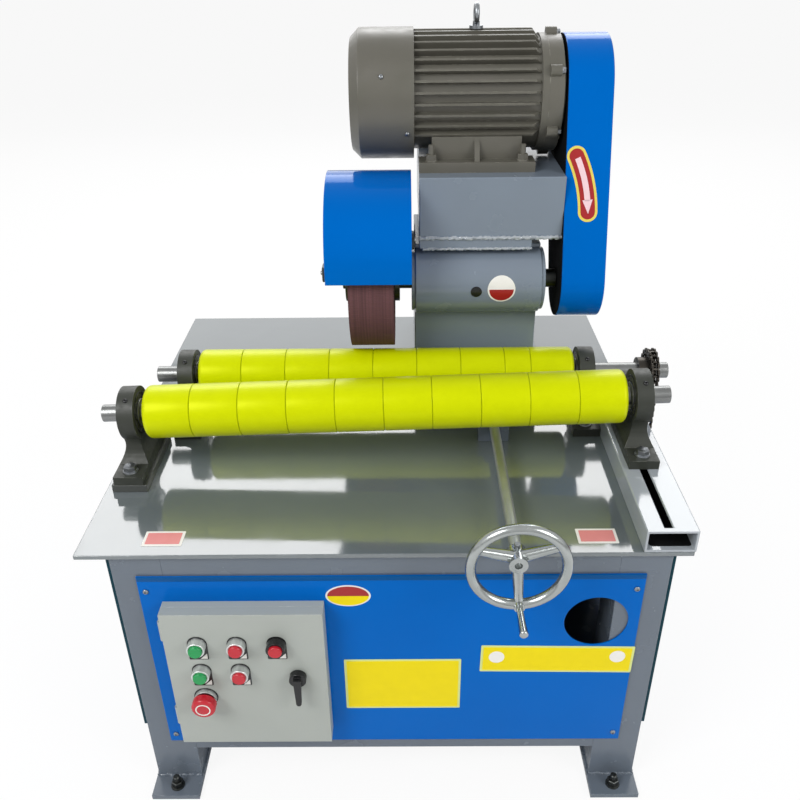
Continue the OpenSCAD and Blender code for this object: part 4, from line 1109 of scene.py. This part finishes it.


# Black plate on the belt guard's side towards the motor: painted shade for the shadow between the motor and
# the guard


GUARD_LOW_R = 70 * MM
GUARD_TOP_R = 100 * MM
BACK_T = 1.0 * MM
BACK_PROUD = 0.1 * MM
BACK_IN = 1.0 * MM


def guard_shade_plate():
    """Plate with the guard's own outline: two discs joined by their hull."""
    low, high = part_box("belt_guard")
    parts = []
    for radius, y, z in ((GUARD_LOW_R, low.y + GUARD_LOW_R, low.z + GUARD_LOW_R),
                         (GUARD_TOP_R, high.y - GUARD_TOP_R, high.z - GUARD_TOP_R)):
        parts.append(start("cylinder", "guard_round", vertices=96, radius=radius - BACK_IN, depth=BACK_T,
                           location=(low.x - BACK_PROUD, y, z), rotation=(0, QUARTER_TURN, 0)))
        settle(parts[-1])
    plate = merge("guard_shade_plate", parts)
    edit(plate)
    pick_all()
    bpy.ops.mesh.convex_hull()
    bpy.ops.mesh.dissolve_limited(angle_limit=FLAT)
    leave()
    smooth(plate)
    return plate


hang(guard_shade_plate(), painted_shade_black, "head")


# Black film on the floor of the slotted rail, seen through the slot: painted shade inside the hollow rail


RAIL_WALL = 4 * MM
RAIL_IN = 10 * MM
SHADE_CORNER = 6 * MM
rail_low, rail_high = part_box("slotted_rail")
rail_painted_shade = block("rail_painted_shade", (rail_low.x + RAIL_IN, rail_low.y + RAIL_IN, rail_low.z + RAIL_WALL),
                  (rail_high.x - RAIL_WALL, rail_high.y - RAIL_IN, rail_low.z + RAIL_WALL + FILM))
edit(rail_painted_shade)
pick(rail_painted_shade, "edges", along(UP))
bevel(SHADE_CORNER, 3)
leave()
hang(rail_painted_shade, painted_shade_black, "root")


# Legend plates behind the push buttons


LEGEND_W = 31.5 * MM
LEGEND_H = 49 * MM
LEGEND_T = 1.0 * MM
LEGEND_DOWN = 8.0 * MM
LEGEND_BORE_R = 12.5 * MM
LEGEND_CORNER = 2 * MM
DRILL_L = 6 * MM
MARK_IN = 2 * MM
MARK_W = 11 * MM
MARK_T = 0.4 * MM
door_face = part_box("control_door")[0].y


def legend_plate():
    """Plate round at its top and square at its foot, with a hole for the button, facing +Z."""
    plate = block("legend", (-LEGEND_W / 2, -LEGEND_H / 2, 0), (LEGEND_W / 2, LEGEND_H / 2, LEGEND_T))
    edit(plate)
    pick(plate, "edges", lambda e: along(UP)(e) and e.verts[0].co.y > 0)
    bevel(LEGEND_W * 0.47, 10)
    pick(plate, "edges", lambda e: along(UP)(e) and e.verts[0].co.y < -LEGEND_H * 0.49)
    bevel(LEGEND_CORNER, 3)
    leave()
    drill = start("cylinder", "drill", vertices=48, radius=LEGEND_BORE_R, depth=DRILL_L,
                  location=(0, LEGEND_DOWN, 0))
    apply(plate, "BOOLEAN", object=drill, operation="DIFFERENCE", solver="EXACT")
    bpy.data.objects.remove(drill)
    return plate


def corner_mark():
    """Pale three-cornered mark for a plate's lower right corner, facing +Z."""
    right, foot = LEGEND_W / 2 - MARK_IN, -LEGEND_H / 2 + MARK_IN
    mark = block("mark", (right - MARK_W, foot, LEGEND_T), (right, foot + MARK_W, LEGEND_T + MARK_T))
    edit(mark)
    pick_all()
    bpy.ops.mesh.bisect(plane_co=(right - MARK_W / 2, foot + MARK_W / 2, 0), plane_no=(1, -1, 0),
                        use_fill=True, clear_inner=True)
    leave()
    return mark


legends = []
marks = []
for number in range(1, 6):
    button = middle("button_%d" % number)
    spot = Vector((button.x, door_face, button.z - LEGEND_DOWN))
    legends.append(stick(legend_plate(), spot, FRONT))
    marks.append(stick(corner_mark(), spot, FRONT))
hang(merge("legend_plates", legends), black_nylon, "door")
hang(merge("legend_marks", marks), white_vinyl, "door")


# The emergency stop's plate, bezel and white ring, and the third push button's black collar


STOP_PLATE = {"outer_r": 20 * MM, "inner_r": 16 * MM, "thickness": 1.2 * MM, "edge": 0.3 * MM}
STOP_BEZEL = {"outer_r": 18 * MM, "inner_r": 16 * MM, "thickness": 8.0 * MM, "edge": 0.4 * MM}
STOP_RING = {"outer_r": 12.5 * MM, "inner_r": 10.5 * MM, "thickness": 0.5 * MM, "edge": 0.1 * MM}
THIRD_COLLAR = {"outer_r": 15.3 * MM, "inner_r": 11.7 * MM, "thickness": 15.4 * MM, "edge": 0.2 * MM}
stop_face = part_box("emergency_stop")[0].y


def knob_ring(node, y, ring, finish, body):
    """Sets a ring round the axis of a knob, standing on the plane at y."""
    centre = middle(node)
    hang(stick(ring, Vector((centre.x, y, centre.z)), FRONT), finish, body)


knob_ring("emergency_stop", door_face, washer_ring("stop_plate", **STOP_PLATE),
          black_nylon, "door")
knob_ring("emergency_stop", door_face, washer_ring("stop_bezel", **STOP_BEZEL),
          satin_chrome, "door")
knob_ring("emergency_stop", stop_face, washer_ring("stop_ring", **STOP_RING),
          white_vinyl, "stop_button")
knob_ring("button_3", door_face, washer_ring("third_collar", **THIRD_COLLAR),
          black_nylon, "door")


# Stage: pale floor, white surroundings, soft lamps and the camera


FLOOR_W = 80
FLOOR_DROP = 0.2 * MM
FLOOR_GLOW = 0.90
SKY_PLAIN = 0.42
SKY_IN_MIRROR = 0.80
WHITE = (1, 1, 1, 1)


def floor_paint():
    """Matt white floor that shows a faint shadow to the camera."""
    material, shader, _ = blank("studio_floor")
    join(material, shader, {"Base Color": rgb("#f2f2f2"), "Roughness": 0.9, "Specular IOR Level": 0.0})
    seen = add(material, "LightPath").outputs["Is Camera Ray"]
    lit = add(material, "Emission", None, {"Color": WHITE, "Strength": 1.0})
    share = add(material, "Math", {"operation": "MULTIPLY"}, {0: seen, 1: FLOOR_GLOW})
    mixed = add(material, "MixShader", None, {0: share.outputs[0], 1: shader.outputs[0], 2: lit.outputs[0]})
    join(material, material.node_tree.nodes["Material Output"], {"Surface": mixed.outputs[0]})
    return material


floor = start("plane", "studio_floor", size=FLOOR_W, location=(0, 0, -FLOOR_DROP))
settle(floor)
floor.data.materials.append(floor_paint())

world = bpy.data.worlds.new("white_studio")
bpy.context.scene.world = world
world.use_nodes = True
path = add(world, "LightPath")
seen = add(world, "Math", {"operation": "MAXIMUM"},
           {0: path.outputs["Is Camera Ray"], 1: path.outputs["Is Transmission Ray"]})
plain = add(world, "MapRange", None,
            {"Value": path.outputs["Is Glossy Ray"], "To Min": SKY_PLAIN, "To Max": SKY_IN_MIRROR})
level = add(world, "Math", {"operation": "MAXIMUM"}, {0: seen.outputs[0], 1: plain.outputs[0]})
join(world, world.node_tree.nodes["Background"], {"Color": WHITE, "Strength": level.outputs[0]})


def softbox(name, place, target, width, height, watts):
    """Large soft lamp that faces a point."""
    lamp = bpy.data.lights.new(name, "AREA")
    lamp.shape = "RECTANGLE"
    lamp.size = width
    lamp.size_y = height
    lamp.energy = watts
    holder = bpy.data.objects.new(name, lamp)
    bpy.context.scene.collection.objects.link(holder)
    holder.visible_camera = False
    holder.location = place
    holder.rotation_euler = (Vector(target) - Vector(place)).to_track_quat("-Z", "Y").to_euler()


LAMPS = (
    # name, place, target, width, height, watts
    ("key_lamp", (-2.2, -2.4, 3.2), (0, 0, 0.6), 1.8, 1.8, 95),
    ("fill_lamp", (2.6, -2.0, 2.2), (0, 0, 0.6), 1.6, 1.6, 45),
    ("rear_lamp", (0, 3.5, 3.6), (0, 0, 0.6), 5.0, 2.0, 126),
    ("low_rear_lamp", (0, 4.6, 2.0), (0, 0, 0.8), 6.0, 1.5, 28),
)
for lamp in LAMPS:
    softbox(*lamp)

# Camera at the photograph's own place and angle
FOCAL_PX = 839
FRAME_PX = 800
SENSOR = 36.0
PITCH = math.radians(29.93)
YAW = math.radians(-0.56)
ROLL = math.radians(0.72)
EYE = (0.028, -1.435, 1.385)
camera = bpy.data.cameras.new("camera")
camera.sensor_width = SENSOR
camera.lens = SENSOR * FOCAL_PX / FRAME_PX
eye = bpy.data.objects.new("camera", camera)
bpy.context.scene.collection.objects.link(eye)
ahead = Vector((math.sin(YAW) * math.cos(PITCH), math.cos(YAW) * math.cos(PITCH), -math.sin(PITCH)))
level_right = Vector((math.cos(YAW), -math.sin(YAW), 0))
level_down = ahead.cross(level_right)
right = math.cos(ROLL) * level_right + math.sin(ROLL) * level_down
down = -math.sin(ROLL) * level_right + math.cos(ROLL) * level_down
eye.matrix_world = Matrix.Translation(EYE) @ Matrix((right, -down, -ahead)).transposed().to_4x4()
bpy.context.scene.camera = eye
bpy.context.scene.view_settings.view_transform = "Standard"

take()
